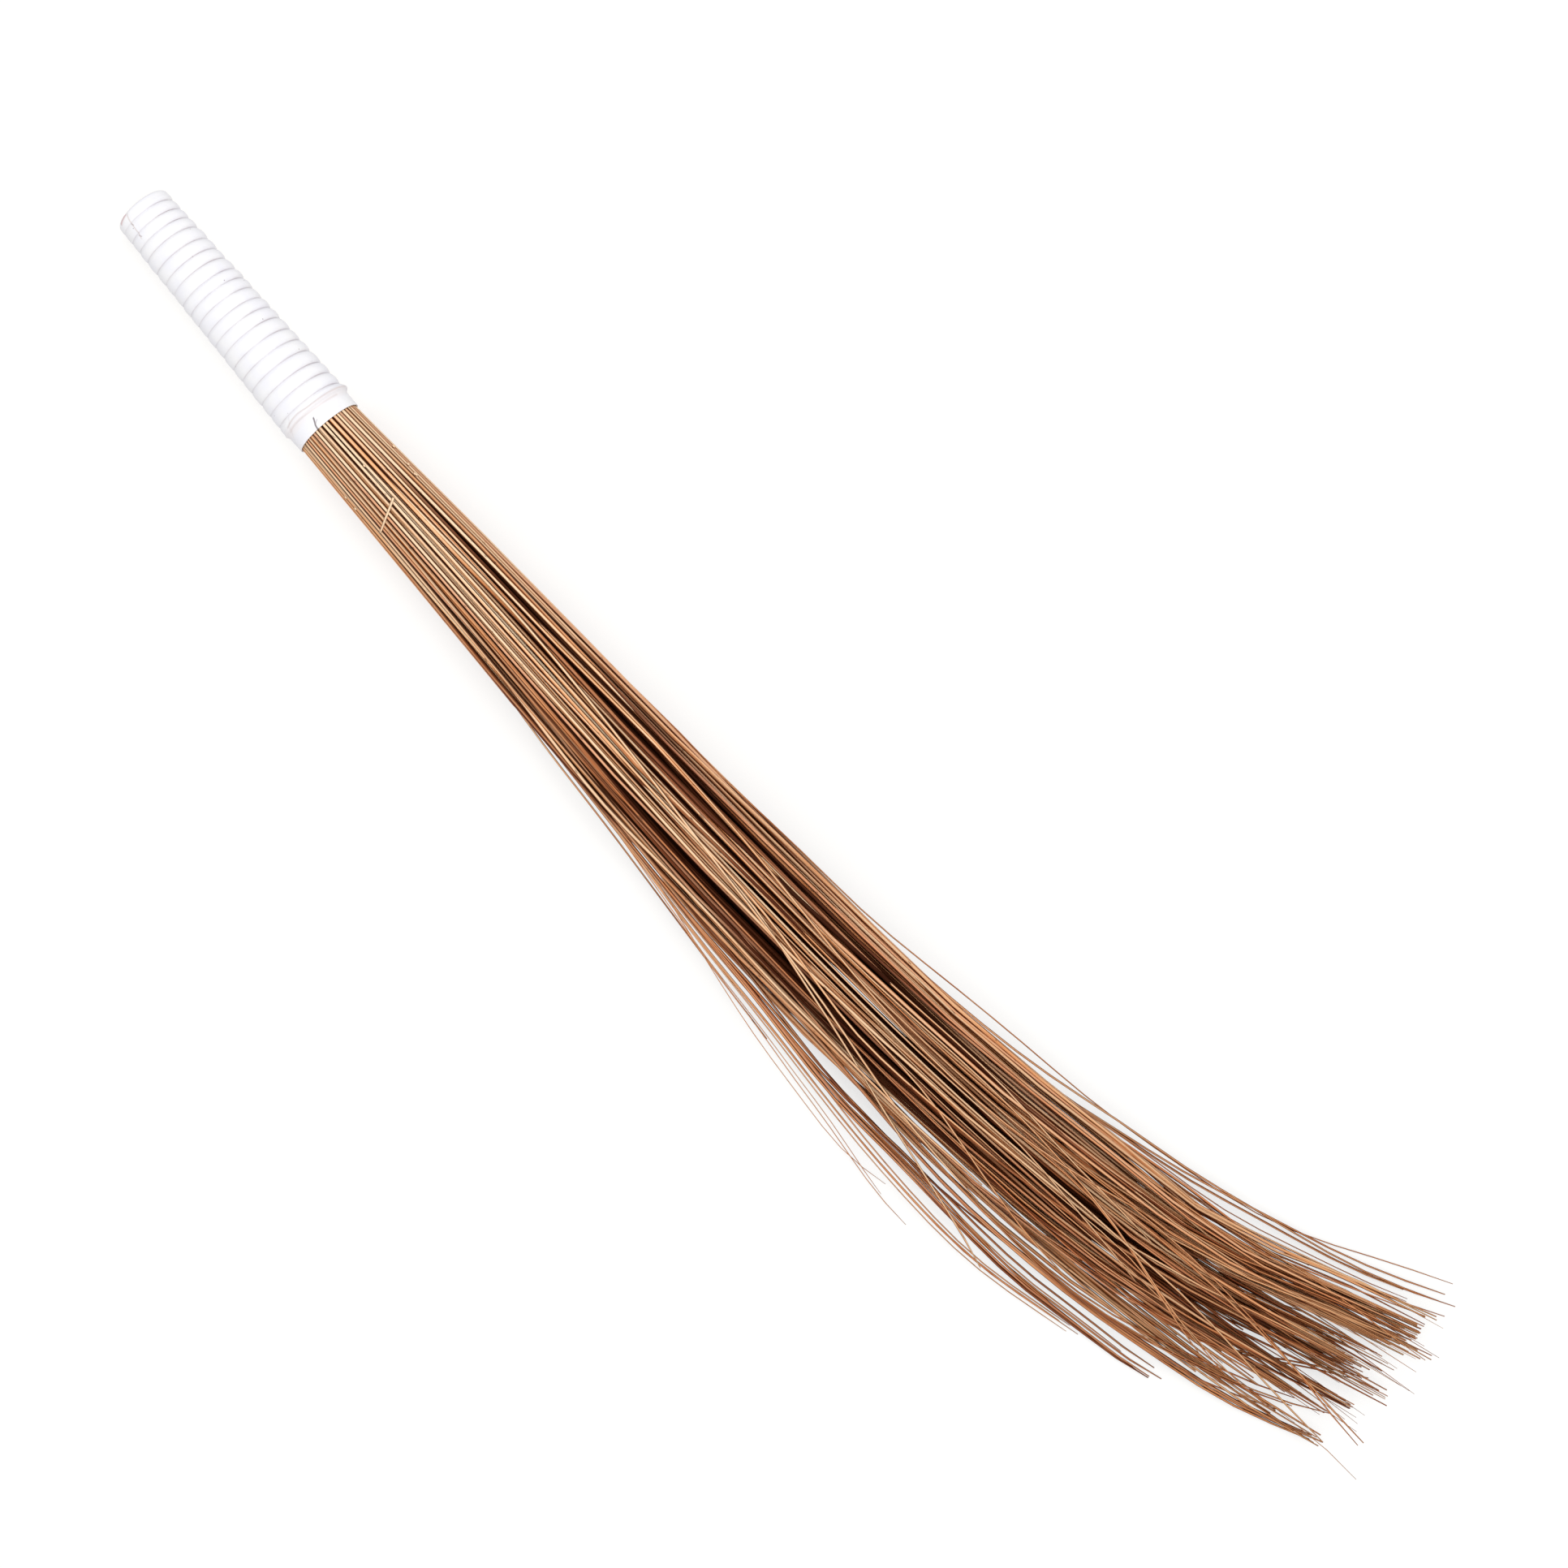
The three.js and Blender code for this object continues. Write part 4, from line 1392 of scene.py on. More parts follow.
@dataclass(frozen=True)
class Stray:
    """One loose or crossing stick, or a few side by side, by the pixels that it passes through."""

    lay: Lay
    radius: float
    tone: float
    hue: float
    pixels: tuple[Pair, ...]
    count: int = 1
    spread: float = 0.0
    reach: float = 0.0


@dataclass
class LooseSticks:
    """The sticks that lie loose beside the fan and those that cross over it, all held in the handle.

    A pixel is read at a guessed height first, and then a few times at the height that its place was found to have.
    """

    bundle: Bundle
    name: str = "palm_loose_sticks"
    seed: int = 21
    rows: int = 40
    root_rows: Floats = (40.0, 100.0, 150.0, 175.0, 210.0)
    root_step: float = 55.0
    last_step: float = 0.6
    root_reach: float = 0.88
    least_reach: float = 0.1
    parting: float = 130.0
    guess_height: float = 20.0
    guesses: int = 4
    over_gap: Pair = (1.3, 0.4)
    sinking: float = 1.5
    floor_gap: float = 0.1
    fraying: Ease = Ease(-60, 220)
    bow: float = 0.7
    bows: Pair = (0.8, 1.6)
    mean_length: float = 900
    least_rows: int = 60
    radius_shares: Pair = (0.75, 1.2)
    taper: Pair = (1.45, 0.7)
    end_taper: float = 0.55
    flatness: float = 0.9
    rest_gap: float = 0.03
    # outward, dim_end and dim_light give the loose sticks painted shade, darker along their first stretch by the
    # handle.
    outward: Triple = (0.0, -0.2, 1.0)
    dim_end: float = 200
    dim_light: float = 0.6
    tone_spread: float = 0.14
    most_roll: float = 0.4
    strays: tuple[Stray, ...] = (
        Stray(Lay.ASIDE, 0.42, 0.42, 0.2, (
            (985, 1046), (1080, 1140), (1147, 1192), (1218, 1250), (1280, 1301), (1331, 1347), (1382, 1385),
            (1450, 1434), (1503, 1468), (1561, 1505), (1635, 1533), (1702, 1551), (1790, 1582),
        )),
        Stray(Lay.ASIDE, 0.6, 0.45, 0.4, (
            (1150, 1214), (1240, 1296), (1290, 1335), (1330, 1365), (1380, 1395), (1440, 1440), (1500, 1474),
            (1560, 1505), (1605, 1532), (1681, 1571), (1767, 1602), (1793, 1610),
        ), 4, 3.0, 40),
        Stray(Lay.ASIDE, 0.55, 0.35, 0.8, (
            (1190, 1252), (1300, 1352), (1380, 1406), (1450, 1462), (1521, 1511), (1595, 1545), (1702, 1597),
            (1780, 1622),
        ), 3, 3.5, 30),
        Stray(Lay.ASIDE, 0.55, 0.4, 0.1, ((743, 1012), (800, 1088), (888, 1206), (945, 1280))),
        Stray(Lay.ASIDE, 0.5, 0.55, 0.6, (
            (790, 1062), (862, 1158), (940, 1252), (1000, 1330), (1066, 1414), (1106, 1458), (1142, 1499),
            (1183, 1539), (1208, 1562), (1257, 1596), (1295, 1621), (1328, 1644),
        ), 4, 3.4, 26),
        Stray(Lay.ASIDE, 0.34, 0.7, 0.9, (
            (862, 1170), (903, 1225), (944, 1280), (985, 1339), (1008, 1367), (1040, 1414), (1065, 1450),
            (1091, 1486), (1116, 1509),
        ), 2, 3.0, 60),
        Stray(Lay.ASIDE, 0.28, 0.6, 0.7, ((920, 1262), (985, 1350), (1040, 1422), (1091, 1459))),
        Stray(Lay.ASIDE, 0.78, 0.32, 0.45, (
            (861, 1143), (929, 1223), (984, 1293), (1038, 1359), (1089, 1405), (1122, 1441), (1166, 1487),
            (1217, 1538), (1268, 1586), (1331, 1627), (1382, 1673), (1431, 1699),
        ), 7, 3.1, 34),
        Stray(Lay.ASIDE, 0.75, 0.02, 0.1, (
            (1040, 1350), (1100, 1412), (1155, 1463), (1198, 1498), (1234, 1529), (1270, 1555), (1298, 1578),
            (1345, 1612),
        )),
        Stray(Lay.ASIDE, 1.0, 0.5, 0.75, (
            (1180, 1478), (1270, 1556), (1340, 1612), (1420, 1664), (1470, 1700), (1521, 1732), (1583, 1756),
            (1630, 1777),
        ), 3, 1.6, 14),
        Stray(Lay.ASIDE, 0.28, 0.7, 0.6, ((1440, 1672), (1540, 1722), (1600, 1752), (1632, 1781), (1671, 1823))),
        Stray(Lay.ASIDE, 0.6, 0.4, 0.4, (
            (1300, 1580), (1400, 1655), (1472, 1700), (1520, 1716), (1542, 1731), (1560, 1736), (1572, 1736),
        )),
        Stray(Lay.ASIDE, 0.6, 0.35, 0.6, (
            (1250, 1530), (1330, 1600), (1420, 1655), (1500, 1692), (1560, 1722), (1600, 1734), (1640, 1742),
        ), 3, 4.0, 30),
        Stray(Lay.ASIDE, 0.7, 0.3, 0.3, (
            (1380, 1590), (1450, 1640), (1520, 1668), (1609, 1677), (1673, 1696), (1686, 1698),
        ), 2, 2.0, 10),
        Stray(Lay.OVER, 0.75, 0.85, 0.3, (
            (929, 1115), (971, 1182), (1036, 1279), (1089, 1370), (1124, 1423), (1162, 1485), (1183, 1514),
            (1208, 1562),
        )),
        Stray(Lay.OVER, 0.7, 0.75, 0.4, (
            (1081, 1281), (1155, 1363), (1183, 1407), (1218, 1458), (1244, 1493), (1275, 1535), (1310, 1570),
        )),
        Stray(Lay.OVER, 0.65, 0.8, 0.3, (
            (1229, 1347), (1323, 1447), (1359, 1488), (1397, 1542), (1438, 1608), (1480, 1660),
        )),
        Stray(Lay.OVER, 0.6, 0.6, 0.4, ((1350, 1478), (1420, 1582), (1451, 1634), (1479, 1670))),
        Stray(Lay.OVER, 0.72, 0.9, 0.2, (
            (1340, 1490), (1400, 1546), (1454, 1590), (1507, 1646), (1558, 1704), (1598, 1745), (1629, 1776),
        )),
        Stray(Lay.OVER, 0.75, 0.7, 0.3, (
            (1442, 1536), (1502, 1590), (1550, 1638), (1588, 1676), (1622, 1716), (1657, 1755), (1680, 1778),
        )),
        Stray(Lay.OVER, 0.6, 0.5, 0.5, (
            (1450, 1530), (1525, 1606), (1590, 1676), (1618, 1716), (1650, 1758), (1673, 1781),
        )),
        Stray(Lay.OVER, 0.8, 0.7, 0.4, (
            (800, 905), (930, 1050), (1060, 1210), (1180, 1335), (1300, 1430), (1420, 1500),
        )),
        Stray(Lay.OVER, 0.9, 0.9, 0.2, (
            (640, 760), (760, 905), (880, 1060), (1000, 1215), (1108, 1370), (1205, 1480),
        )),
        Stray(Lay.OVER, 1.0, 0.8, 0.5, (
            (752, 1002), (820, 1070), (905, 1160), (960, 1220), (1040, 1300), (1120, 1380), (1210, 1460),
        )),
        Stray(Lay.OVER, 0.9, 0.75, 0.2, (
            (855, 1030), (930, 1110), (1010, 1215), (1050, 1270), (1130, 1345), (1230, 1430),
        )),
        Stray(Lay.OVER, 0.6, 0.75, 0.3, ((1252, 1404), (1295, 1453), (1341, 1509), (1372, 1542), (1400, 1580))),
        Stray(Lay.OVER, 0.7, 0.85, 0.2, (
            (1219, 1320), (1259, 1361), (1295, 1404), (1331, 1442), (1375, 1484), (1420, 1532),
        )),
        Stray(Lay.OVER, 0.5, 0.7, 0.4, (
            (1400, 1552), (1427, 1590), (1454, 1628), (1470, 1652), (1488, 1668), (1512, 1697),
        )),
        Stray(Lay.OVER, 0.45, 0.65, 0.5, (
            (1400, 1569), (1435, 1601), (1467, 1644), (1494, 1673), (1539, 1719), (1566, 1737),
        )),
        Stray(Lay.OVER, 0.5, 0.7, 0.3, (
            (1560, 1540), (1628, 1579), (1657, 1601), (1695, 1633), (1721, 1652), (1756, 1676),
        )),
    )

    def over(self, along: float, across: float) -> float:
        """The height of the fan's top at a place, or of its side where the place is beside the fan."""
        side = (across - self.bundle.middle(along)[0]) / self.bundle.half(along)[0]
        half_top = self.bundle.top(along)[0] / 2
        return float(half_top * (1 + math.sqrt(max(0.0, 1 - min(abs(side), 1.0) ** 2))))

    def knots(self, stray: Stray) -> list[np.ndarray]:
        """Finds where a stray stick lies at each of its pixels, in the handle's own lengths."""
        knots = []
        last = len(stray.pixels) - 1
        over_share, over_gap = self.over_gap
        for number, (across, down) in enumerate(stray.pixels):
            height = self.guess_height
            for _ in range(self.guesses):
                spot = PHOTO.at(across, down, height) - HANDLE.root
                top = self.over(spot[0], spot[1])
                if stray.lay is Lay.OVER:
                    height = top + stray.radius * over_share + over_gap
                else:
                    height = top * (1 - number / last) ** self.sinking + stray.radius + self.floor_gap
            spot[2] = height
            knots.append(spot)
        return knots

    def route(self, stray: Stray) -> np.ndarray:
        """Finds a stray stick's points from its pixels, and leads them back into the handle.

        Args:
            stray: The stick.

        Returns:
            Its points in the handle's own lengths, from its place in the handle to its tip.
        """
        knots = self.knots(stray)
        first = knots[0][0]
        side, up = self.bundle.shares(knots[0])
        packed = min(1.0, self.root_reach / max(math.hypot(side, up), self.least_reach))
        step = self.root_step
        between = np.arange(self.root_rows[-1] + step, first - self.last_step * step, step)
        roots = []
        for along in self.root_rows + tuple(between):
            part = float(smooth((along - first + self.parting) / self.parting))
            squeeze = packed + (1 - packed) * part
            if along <= HANDLE.packed_end:
                spread = HANDLE.bundle(along) * squeeze
                roots.append([along, side * spread, HANDLE.height(along) + up * spread])
            else:
                half_top = self.bundle.top(along)[0] / 2
                across = self.bundle.middle(along)[0] + side * squeeze * self.bundle.half(along)[0]
                roots.append([along, across, half_top * (1 + up * squeeze)])
        return np.vstack([roots, knots])

    def sticks(self) -> list[Stick]:
        """Works out every stray stick."""
        rng = np.random.default_rng(self.seed)
        sticks = []
        for stray in self.strays:
            whole = self.route(stray)
            for number in range(stray.count):
                sticks.append(self.stick(rng, stray, whole, number))
        return sticks

    def frayed(self, rng: Rng, stray: Stray, line: np.ndarray) -> np.ndarray:
        """Moves a line aside, so that the sticks of a group part from each other about from its first pixel on.

        Args:
            rng: The random source.
            stray: The group.
            line: The group's line.

        Returns:
            The stick's own line.
        """
        share = np.linspace(0, 1, len(line))
        first = PHOTO.at(*stray.pixels[0], self.guess_height)[0] - HANDLE.butt
        away = self.fraying.at(line[:, 0] - first)
        aside = np.cross(UP, unit(np.gradient(line, axis=0)))
        lean, bow = rng.uniform(-1, 1), rng.normal(0, self.bow)
        swing = np.sin(FULL_TURN * (share * rng.uniform(*self.bows) + rng.random()))
        line = line + aside * (stray.spread * (lean + bow * swing) * away)[:, None]
        line[:, 2] += rng.uniform(0, 2.0 * stray.radius) * away
        ends = 1 - rng.random() * stray.reach / self.mean_length
        return line[: max(int(len(line) * ends), self.least_rows)]

    def stick(self, rng: Rng, stray: Stray, whole: np.ndarray, number: int) -> Stick:
        """Draws one stick of a stray group.

        Args:
            rng: The random source.
            stray: The group.
            whole: The group's route.
            number: The stick's number in the group.

        Returns:
            The stick.
        """
        line = evenly(whole, 3 * self.rows)
        if number:
            line = self.frayed(rng, stray, line)
        line = evenly(line, self.rows, rounds=4)
        radius = stray.radius * (rng.uniform(*self.radius_shares) if number else 1)
        butt, fall = self.taper
        width = 2 * radius * (butt - fall * np.linspace(0, 1, len(line)))
        width[-1] *= self.end_taper
        line[:, 2] = np.maximum(line[:, 2], width / 2 * self.flatness + self.rest_gap)
        outward = np.tile(self.outward, (self.rows, 1)) / math.hypot(*self.outward)
        light = np.where(line[:, 0] < self.dim_end, self.dim_light, 1.0)
        tone = float(np.clip(stray.tone + (rng.normal(0, self.tone_spread) if number else 0), 0, 1))
        hue = float(rng.random()) if number else stray.hue
        roll = float(rng.uniform(-self.most_roll, self.most_roll))
        return Stick(line, width, tone, hue, roll, self.flatness, outward, light)


@dataclass
class BrokenBit:
    """The pale broken bit of stick that lies across the bundle near the handle, and the nodules of leaf stalk there.

    Both lie on the carriers, the sticks under them, at the pixels where the photograph shows them.
    """

    carriers: list[Stick]
    name: str = "palm_broken_bit"
    ends: tuple[Pair, Pair] = ((484.7, 613.3), (468.6, 656.2))
    radius: float = 0.78
    lift: float = 0.8
    taper: Pair = (1.05, 0.85)
    # The softness keeps the painted shade light on the bit's flanks.
    softness: float = 0.8
    start_height: float = 41.0
    guesses: int = 3
    steps: int = 9
    stiffness: float = 0.6
    nodules: Knots = ((449, 574), (511, 584), (503, 572), (426, 613), (438, 627), (485, 550), (513, 585))
    nodule_half: float = 0.9
    nodule_radius: float = 0.8
    nodule_lift: float = 0.25
    nodule_slant: float = 0.12
    nodule_round: float = 1.04

    def on_top(self, across: float, down: float, lift: float) -> np.ndarray:
        """Finds the place on the sticks' top that a pixel shows, raised by the lift."""
        height = self.start_height
        for _ in range(self.guesses):
            spot = PHOTO.at(across, down, height) - HANDLE.root
            height = self.carried(spot[0], spot[1]) + lift
        spot[2] = height
        return spot

    def carried(self, along: float, across: float) -> float:
        """Finds the top of the highest stick at a place along and across the handle's own lengths."""
        best = 0.0
        for stick in self.carriers:
            places = stick.line[:, 0]
            if not places[0] <= along <= places[-1]:
                continue
            middle, height = (np.interp(along, places, stick.line[:, axis]) for axis in (1, 2))
            half = np.interp(along, places, stick.width) / 2
            off = abs(middle - across) / (half + self.radius / 2)
            if off < 1:
                best = max(best, float(height + half * stick.flatness * math.sqrt(1 - off**2)))
        return best

    def sticks(self, rows: int) -> list[Stick]:
        """Lays the bit and the nodules on the sticks.

        Args:
            rows: How many rows the blank has.

        Returns:
            Each as one short stick.
        """
        (left, high), (right, low) = self.ends
        shares = np.linspace(0, 1, self.steps)
        lift = self.radius * self.lift
        knots = [self.on_top(left + (right - left) * s, high + (low - high) * s, lift) for s in shares]
        heights = np.array([knot[2] for knot in knots])
        curve = np.polyval(np.polyfit(shares, heights, 2), shares)
        curve += self.stiffness * np.max(heights - curve)
        for knot, height in zip(knots, curve):
            knot[2] = height
        width = np.full(rows, 2 * self.radius) * np.linspace(*self.taper, rows)
        outward, light = np.tile(UP, (rows, 1)), np.ones(rows)
        line = through(np.array(knots), rows)
        shown = {"outward": outward, "light": light}
        sticks = [Stick(line, width, tone=1.0, hue=0.1, roll=0.2, flatness=0.8, softness=self.softness, **shown)]
        share = np.linspace(-1, 1, rows)
        for across, down in self.nodules:
            spot = self.on_top(across, down, self.nodule_lift)
            line = spot + np.outer(share * self.nodule_half, [1.0, self.nodule_slant, 0.0])
            width = 2 * self.nodule_radius * np.sqrt(self.nodule_round - share**2)
            soft = 0.5 * self.softness
            sticks.append(Stick(line, width, tone=0.9, hue=0.3, roll=0.1, flatness=0.9, softness=soft, **shown))
        return sticks


# The handle


@dataclass
class FilmSleeve:
    """The white film shrunk over the cord: ribs, a butt with a turned lip, a ridge and a smooth collar.

    The groove pixels are the grooves' distances along the handle from the view's start. Ribs are deeper on one
    side and shallower on the other. Folds run round beside the ridge, a pleat runs in from the butt, and the
    collar is tucked in at one place.
    """

    name: str = "film_sleeve"
    columns: int = 96
    phases: int = 12
    seed: int = 5
    groove_pixels: Floats = (
        *(17.3, 32.3, 47.3, 62.3, 81.3, 98.3, 114.3, 132.3, 147.3, 163.3),
        *(180.3, 196.3, 213.3, 232.3, 250.3, 268.3, 288.3, 305.3, 323.3),
    )
    turns_before: tuple[int, ...] = (3, 2, 1)
    turns_after: tuple[int, ...] = (1, 2)
    turn_lag: float = 0.1035
    butt_round: float = 2.4
    lip: Knots = ((1.9, 12.0), (0.9, 12.05), (0.3, 12.5), (0.05, 13.3))
    round_rows: Floats = (0.0, 0.12, 0.4, 0.85, 1.5)
    ridge_rows: Floats = (
        *(0.4, 0.9, 1.5, 2.1, 2.7, 3.2, 3.6, 4.0, 4.4, 4.9),
        *(5.5, 6.2, 7.2, 8.6, 10.2, 12.0, 13.6, 14.5, 14.8),
    )
    wound_turns: Pair = (-1.5, 20.5)
    snap: float = 0.12
    ridge_peak: float = 3.3
    ridge_width: float = 1.7
    ridge_rise: float = 0.15
    flare: float = 1.15
    flare_power: float = 1.5
    flare_angle: float = math.radians(12)
    fall: Ease = Ease(-0.4, 2.6)
    folds: tuple[Triple, ...] = ((1.6, 0.45, 0.35), (4.6, 0.5, 0.22))
    fold_depth: Pair = (0.4, 0.6)
    first_ribs: Ease = Ease(4.0, 4.0)
    last_ribs: Ease = Ease(0.0, 1.2)
    rib_power: float = 3
    rib_round: Pair = (0.75, 0.25)
    deep_angle: float = math.radians(15)
    deeper: float = 1.25
    shallow_angle: float = math.radians(190)
    shallower: float = 0.35
    wobble: float = 0.14
    wobbles: int = 40
    first_wobble: int = 5
    wobble_shares: Pair = (0.6, 0.4)
    pleat: Pair = (0.083, 0.012)
    pleat_length: float = 7.0
    pleat_depth: float = 0.55
    tuck: Pair = (3.4, 0.5)
    tuck_start: Ease = Ease(8.0, 6.0)
    tuck_depth: float = 0.25
    merge: float = 0.004
    seam_merge: float = 0.05

    def turns(self) -> tuple[np.ndarray, np.ndarray]:
        """Finds the turns' numbers and where they cross the handle's top, carried on past both ends."""
        nadir = PHOTO.eye[0] - HANDLE.butt
        seen = np.array(self.groove_pixels) * PHOTO.scale - PHOTO.start_back
        tops = HANDLE.height(seen) + HANDLE.crest(seen) - HANDLE.rib_height
        places = nadir - (nadir - seen) * (1 - (tops - PHOTO.level) / PHOTO.distance)
        before = places[0] - np.array(self.turns_before) * (places[1] - places[0])
        after = places[-1] + np.array(self.turns_after) * (places[-1] - places[-2])
        numbers = np.arange(1 - len(before), len(places) + len(after) + 1)
        return numbers, np.concatenate([before, places, after])

    def lag(self, share: np.ndarray) -> np.ndarray:
        """How far a groove has wound on at a share of the way round from the top."""
        return share - self.turn_lag * np.sin(FULL_TURN * share)

    @staticmethod
    def toward(angle: np.ndarray, side: float) -> np.ndarray:
        """How much the film faces one side, from 0 to 1."""
        return np.clip(np.cos(angle - side), 0, 1)

    def radius(self, along: np.ndarray, share: np.ndarray) -> tuple[np.ndarray, np.ndarray, np.ndarray]:
        """Shapes the film.

        Args:
            along: Places along the handle.
            share: Shares of the way round from the top, from -0.5 to 0.5.

        Returns:
            The radius, the winding's phase and how deep the ribs are there.
        """
        phase = np.interp(along, *self.turns()[::-1]) + self.lag(share)
        angle = share * FULL_TURN + math.pi / 2
        past = along - HANDLE.winding_end
        crest = HANDLE.crest(along)
        radius = crest + (HANDLE.collar_radius - crest) * self.fall.at(past - self.ridge_peak)
        flare = self.flare * self.toward(angle, self.flare_angle) ** self.flare_power
        radius = radius + bell(past, self.ridge_peak, self.ridge_width) * (self.ridge_rise + flare)
        fold = sum(bell(past, middle, width) * depth for middle, width, depth in self.folds)
        least, more = self.fold_depth
        radius = radius - fold * (least + more * np.clip(np.sin(angle), 0, 1))
        ribbed = self.first_ribs.at(along) * (1 - self.last_ribs.at(past))
        radius = radius + ribbed * self.ribs(phase, share, angle)
        edge = np.clip(self.butt_round - along, 0, self.butt_round)
        radius = radius - (self.butt_round - np.sqrt(self.butt_round**2 - edge**2))
        pleat = bell(share, *self.pleat) * np.clip(1 - along / self.pleat_length, 0, 1)
        tucked = bell(angle, *self.tuck) * self.tuck_start.at(past)
        return radius - self.pleat_depth * pleat - self.tuck_depth * tucked, phase, ribbed

    def ribs(self, phase: np.ndarray, share: np.ndarray, angle: np.ndarray) -> np.ndarray:
        """Shapes the ribs, each a little uneven.

        Args:
            phase: The winding's phase.
            share: Shares of the way round from the top.
            angle: The same as an angle.

        Returns:
            How far the film stands over the mean crest, or under it in a groove.
        """
        rng = np.random.default_rng(self.seed)
        facing = self.toward(angle, self.deep_angle) ** 2
        most, less = self.rib_round
        part = phase - np.floor(phase)
        rib = (1 - np.abs(2 * part - 1) ** (self.rib_power - facing)) ** (most - less * facing)
        lifts = rng.normal(0, self.wobble, self.wobbles)
        lean = rng.uniform(0, 1, self.wobbles)
        turn = np.floor(phase).astype(int) + self.first_wobble
        even, uneven = self.wobble_shares
        lift = lifts[turn] * (even + uneven * np.cos(FULL_TURN * (share - lean[turn])))
        deep = 1 + self.deeper * facing - self.shallower * self.toward(angle, self.shallow_angle)
        return lift * rib - HANDLE.rib_height * deep * (1 - rib)

    def build(self) -> bpy.types.Object:
        """Shapes a grid round the winding, turns its lip in and gives it its thickness.

        Returns:
            The piece.
        """
        numbers, places = self.turns()
        wide = self.columns + 1
        shares = np.linspace(-0.5, 0.5, wide)
        first, last = self.wound_turns
        steps = np.arange(-2 * self.phases, 21 * self.phases + 1) / self.phases
        steps = steps[(steps > first) & (steps < last)]
        winding = np.interp(steps[:, None] - self.lag(shares)[None], numbers, places)
        winding = np.clip(winding, self.butt_round, HANDLE.winding_end)
        winding[winding < self.butt_round + self.snap] = self.butt_round
        winding[winding > HANDLE.winding_end - self.snap] = HANDLE.winding_end
        start = np.repeat(np.array(self.round_rows)[:, None], wide, 1)
        ridge = np.repeat(np.array(self.ridge_rows)[:, None] + HANDLE.winding_end, wide, 1)
        along = np.vstack([start, winding, ridge])
        share = np.repeat(shares[None], len(along), 0)
        radius, phase, ribbed = self.radius(along, share)
        lip = np.array(self.lip)
        along = np.vstack([np.repeat(lip[:, :1], wide, 1), along])
        radius = np.vstack([np.repeat(lip[:, 1:], wide, 1), radius])
        phase, share = (np.vstack([np.repeat(grid[:1], len(lip), 0), grid]) for grid in (phase, share))
        ribbed = np.vstack([np.zeros((len(lip), wide)), ribbed])
        deselect()
        bpy.ops.mesh.primitive_grid_add(x_subdivisions=self.columns, y_subdivisions=len(along) - 1, size=1)
        piece = bpy.context.object
        piece.name = self.name
        angle = share * FULL_TURN + math.pi / 2
        high = HANDLE.height(along) + radius * np.sin(angle)
        spots = np.stack([along, radius * np.cos(angle), np.maximum(high, FLOOR_GAP)], 2).reshape(-1, 3)
        piece.data.vertices.foreach_set("co", placed(spots).astype(np.float32).ravel())
        for layer in list(piece.data.uv_layers):
            piece.data.uv_layers.remove(layer)
        skin = np.stack([share + 0.5, along / HANDLE.length], 2).reshape(-1, 2)
        map_skin(piece, skin=skin, winding=np.stack([phase / FilmFinish.turns, ribbed], 2).reshape(-1, 2))
        self.close(piece)
        wall = piece.modifiers.new("wall", "SOLIDIFY")
        wall.thickness = HANDLE.wall * MM
        wall.offset = -1
        wall.use_rim = True
        active(piece)
        bpy.ops.object.modifier_apply(modifier="wall")
        bpy.ops.object.shade_smooth()
        return piece

    def close(self, piece: bpy.types.Object) -> None:
        """Merges rows that fell together, joins the grid's edges under the handle and turns its faces out.

        Args:
            piece: The grid, which is the active object.
        """
        bpy.ops.object.mode_set(mode="EDIT")
        bpy.ops.mesh.select_all(action="SELECT")
        bpy.ops.mesh.remove_doubles(threshold=self.merge * MM)
        shape = bmesh.from_edit_mesh(piece.data)
        for corner in shape.verts:
            corner.select = corner.is_boundary
        bmesh.update_edit_mesh(piece.data)
        bpy.ops.mesh.remove_doubles(threshold=self.seam_merge * MM)
        turn_out()
        top = max(piece.data.polygons, key=lambda face: face.center.z)
        if top.normal.z < 0:
            piece.data.flip_normals()


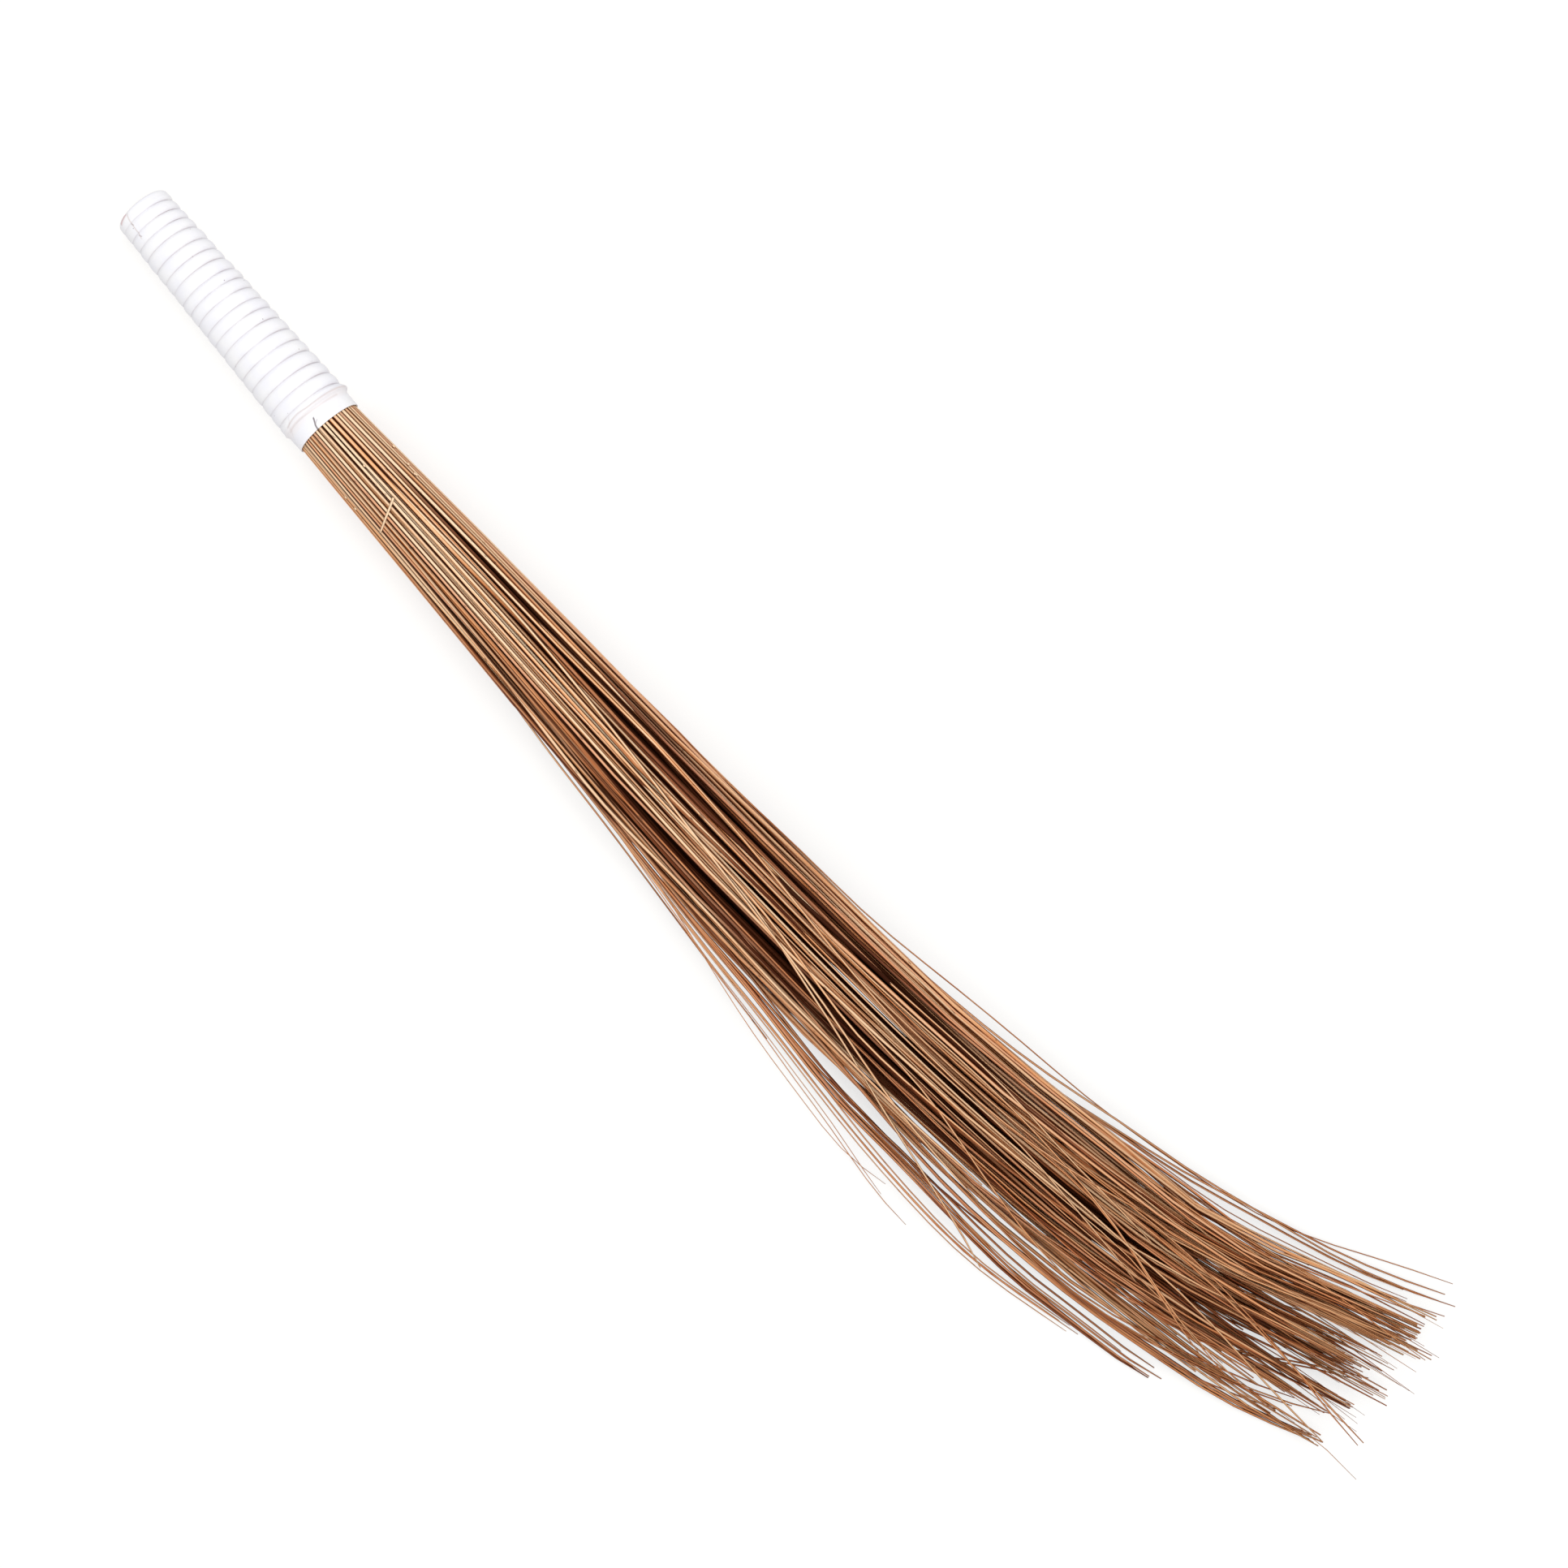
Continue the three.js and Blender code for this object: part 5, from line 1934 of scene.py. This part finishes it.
@dataclass
class GripCord:
    """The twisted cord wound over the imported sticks, hidden by the film.

    Its section is flattened and a little square, and its two ends taper off.
    """

    sleeve: FilmSleeve
    name: str = "grip_cord_winding"
    first_turn: float = 0.62
    last_turn: float = 18.35
    steps: int = 44
    sides: int = 12
    half_width: float = 3.05
    depth_share: float = 0.98
    edge_power: float = 0.7
    top_power: float = 0.8
    taper: int = 5
    least_taper: float = 0.15
    skin_radius: float = 18.0
    skin_girth: float = 18.0

    def build(self) -> bpy.types.Object:
        """Sweeps the cord's flattened section along its winding.

        Returns:
            The piece.
        """
        turns = np.arange(self.first_turn, self.last_turn, 1 / self.steps)
        share = 0.5 - turns
        along = np.interp(0.5 - self.sleeve.lag(share), *self.sleeve.turns())
        angle = share * FULL_TURN + math.pi / 2
        middle = HANDLE.crest(along) - HANDLE.wall - HANDLE.clearance - HANDLE.cord_depth / 2
        rings = len(turns)
        grown = np.clip(np.arange(rings) / self.taper, self.least_taper, 1)
        size = grown * np.clip(np.arange(rings)[::-1] / self.taper, self.least_taper, 1)
        around = np.arange(self.sides) * FULL_TURN / self.sides
        cos, sin = np.cos(around), np.sin(around)
        flat = np.sign(cos) * np.abs(cos) ** self.edge_power * self.half_width
        thick = np.sign(sin) * np.abs(sin) ** self.top_power * HANDLE.cord_depth / 2 * self.depth_share
        corners = []
        for place, turned, far, part in zip(along, angle, middle, size):
            radius = far + thick * part
            high = np.maximum(HANDLE.height(place) + radius * math.sin(turned), HANDLE.wall + HANDLE.clearance)
            corners.append(np.stack([place + flat * part, radius * math.cos(turned), high], 1))
        faces = []
        for ring in range(rings - 1):
            for side in range(self.sides):
                near, beside = ring * self.sides + side, ring * self.sides + (side + 1) % self.sides
                faces.append((near, beside, beside + self.sides, near + self.sides))
        faces.append(tuple(range(self.sides))[::-1])
        faces.append(tuple(range((rings - 1) * self.sides, rings * self.sides)))
        piece = mesh_piece(self.name, placed(np.vstack(corners)), faces)
        lengths = np.repeat(turns * FULL_TURN * self.skin_radius, self.sides) * MM
        rounds = np.tile(around / FULL_TURN * self.skin_girth, rings) * MM
        map_skin(piece, skin=np.stack([rounds, lengths], 1))
        active(piece)
        bpy.ops.object.mode_set(mode="EDIT")
        turn_out()
        bpy.ops.object.shade_smooth()
        return piece


# The studio


@dataclass
class Studio:
    """A pale floor, soft lamps and a plain surrounding light."""

    floor_size: float = 12.0
    floor_cuts: int = 3
    sky: tuple[float, float, float, float] = (0.97, 0.98, 1.0, 1.0)
    fill: float = 0.6
    key_power: float = 18.6
    key_size: float = 1.3
    key_place: Triple = (-0.25, 0.55, 2.05)
    top_power: float = 9.0
    top_size: float = 1.4
    top_place: Triple = (0.1, -0.9, 2.0)

    def lamp(self, name: str, power: float, size: float, place: Triple) -> None:
        """Adds a square soft lamp that faces the broom's middle, in watts and metres."""
        light = bpy.data.lights.new(name, "AREA")
        light.energy = power
        light.size = size
        lamp = bpy.data.objects.new(name, light)
        lamp.location = place
        lamp.rotation_euler = (-Vector(place)).to_track_quat("-Z", "Y").to_euler()
        bpy.context.scene.collection.objects.link(lamp)

    def surround(self) -> bpy.types.World:
        """Makes the surrounding light, which the camera sees as white."""
        world = bpy.data.worlds.new("studio_light")
        world.use_nodes = True
        tree = world.node_tree
        back, white = tree.nodes["Background"], tree.nodes.new("ShaderNodeBackground")
        for light, colour, strength in ((back, self.sky, self.fill), (white, WHITE, 1.0)):
            light.inputs["Color"].default_value = colour
            light.inputs["Strength"].default_value = strength
        path = tree.nodes.new("ShaderNodeLightPath")
        direct = tree.nodes.new("ShaderNodeMath")
        direct.operation = "MAXIMUM"
        mixed = tree.nodes.new("ShaderNodeMixShader")
        for source, target in (
            (path.outputs["Is Camera Ray"], direct.inputs[0]),
            (path.outputs["Is Transmission Ray"], direct.inputs[1]),
            (direct.outputs[0], mixed.inputs["Fac"]),
            (back.outputs[0], mixed.inputs[1]),
            (white.outputs[0], mixed.inputs[2]),
            (mixed.outputs[0], tree.nodes["World Output"].inputs["Surface"]),
        ):
            tree.links.new(source, target)
        return world

    def build(self) -> None:
        """Sets the floor, the lamps, the surrounding light and the view."""
        deselect()
        bpy.ops.mesh.primitive_plane_add(size=self.floor_size, location=(0, 0, 0))
        floor = bpy.context.object
        floor.name = "studio_floor"
        bpy.ops.object.mode_set(mode="EDIT")
        bpy.ops.mesh.subdivide(number_cuts=self.floor_cuts)
        bpy.ops.object.mode_set(mode="OBJECT")
        floor.data.materials.append(FloorFinish().material())
        self.lamp("key_lamp", self.key_power, self.key_size, self.key_place)
        self.lamp("top_lamp", self.top_power, self.top_size, self.top_place)
        scene = bpy.context.scene
        scene.world = self.surround()
        scene.view_settings.view_transform = "Standard"
        PHOTO.camera()


def main() -> None:
    """Builds the broom's sub-assemblies in order and reports each piece."""
    logging.basicConfig(level=logging.INFO, format="%(message)s")
    midrib = MidribFinish().material()
    blank = Blank()
    bundle = Bundle()
    layers = bundle.sticks()
    for layer, sticks in layers.items():
        piece = StickPiece("palm_" + layer.value, blank, sticks).build()
        dress(piece, midrib, Slot.STICKS, layer.value)
    loose = LooseSticks(bundle)
    strays = loose.sticks()
    piece = StickPiece(loose.name, Blank(rows=loose.rows), strays).build()
    dress(piece, midrib, Slot.STICKS, Layer.OUTER.value)
    broken = BrokenBit([stick for sticks in layers.values() for stick in sticks] + strays)
    dress(StickPiece(broken.name, blank, broken.sticks(blank.rows)).build(), midrib, Slot.STICKS)
    sleeve = FilmSleeve()
    dress(sleeve.build(), FilmFinish().material(), Slot.FILM, "shrink_sleeve")
    dress(GripCord(sleeve).build(), CordFinish().material(), Slot.CORD, "grip_cord")
    wire = WireFinish().material()
    for tie in TIES:
        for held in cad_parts[tie].material_slots:
            held.material = wire
        LOG.info("%s: binding wire", tie)
    Studio().build()


if __name__ == "__main__":
    main()
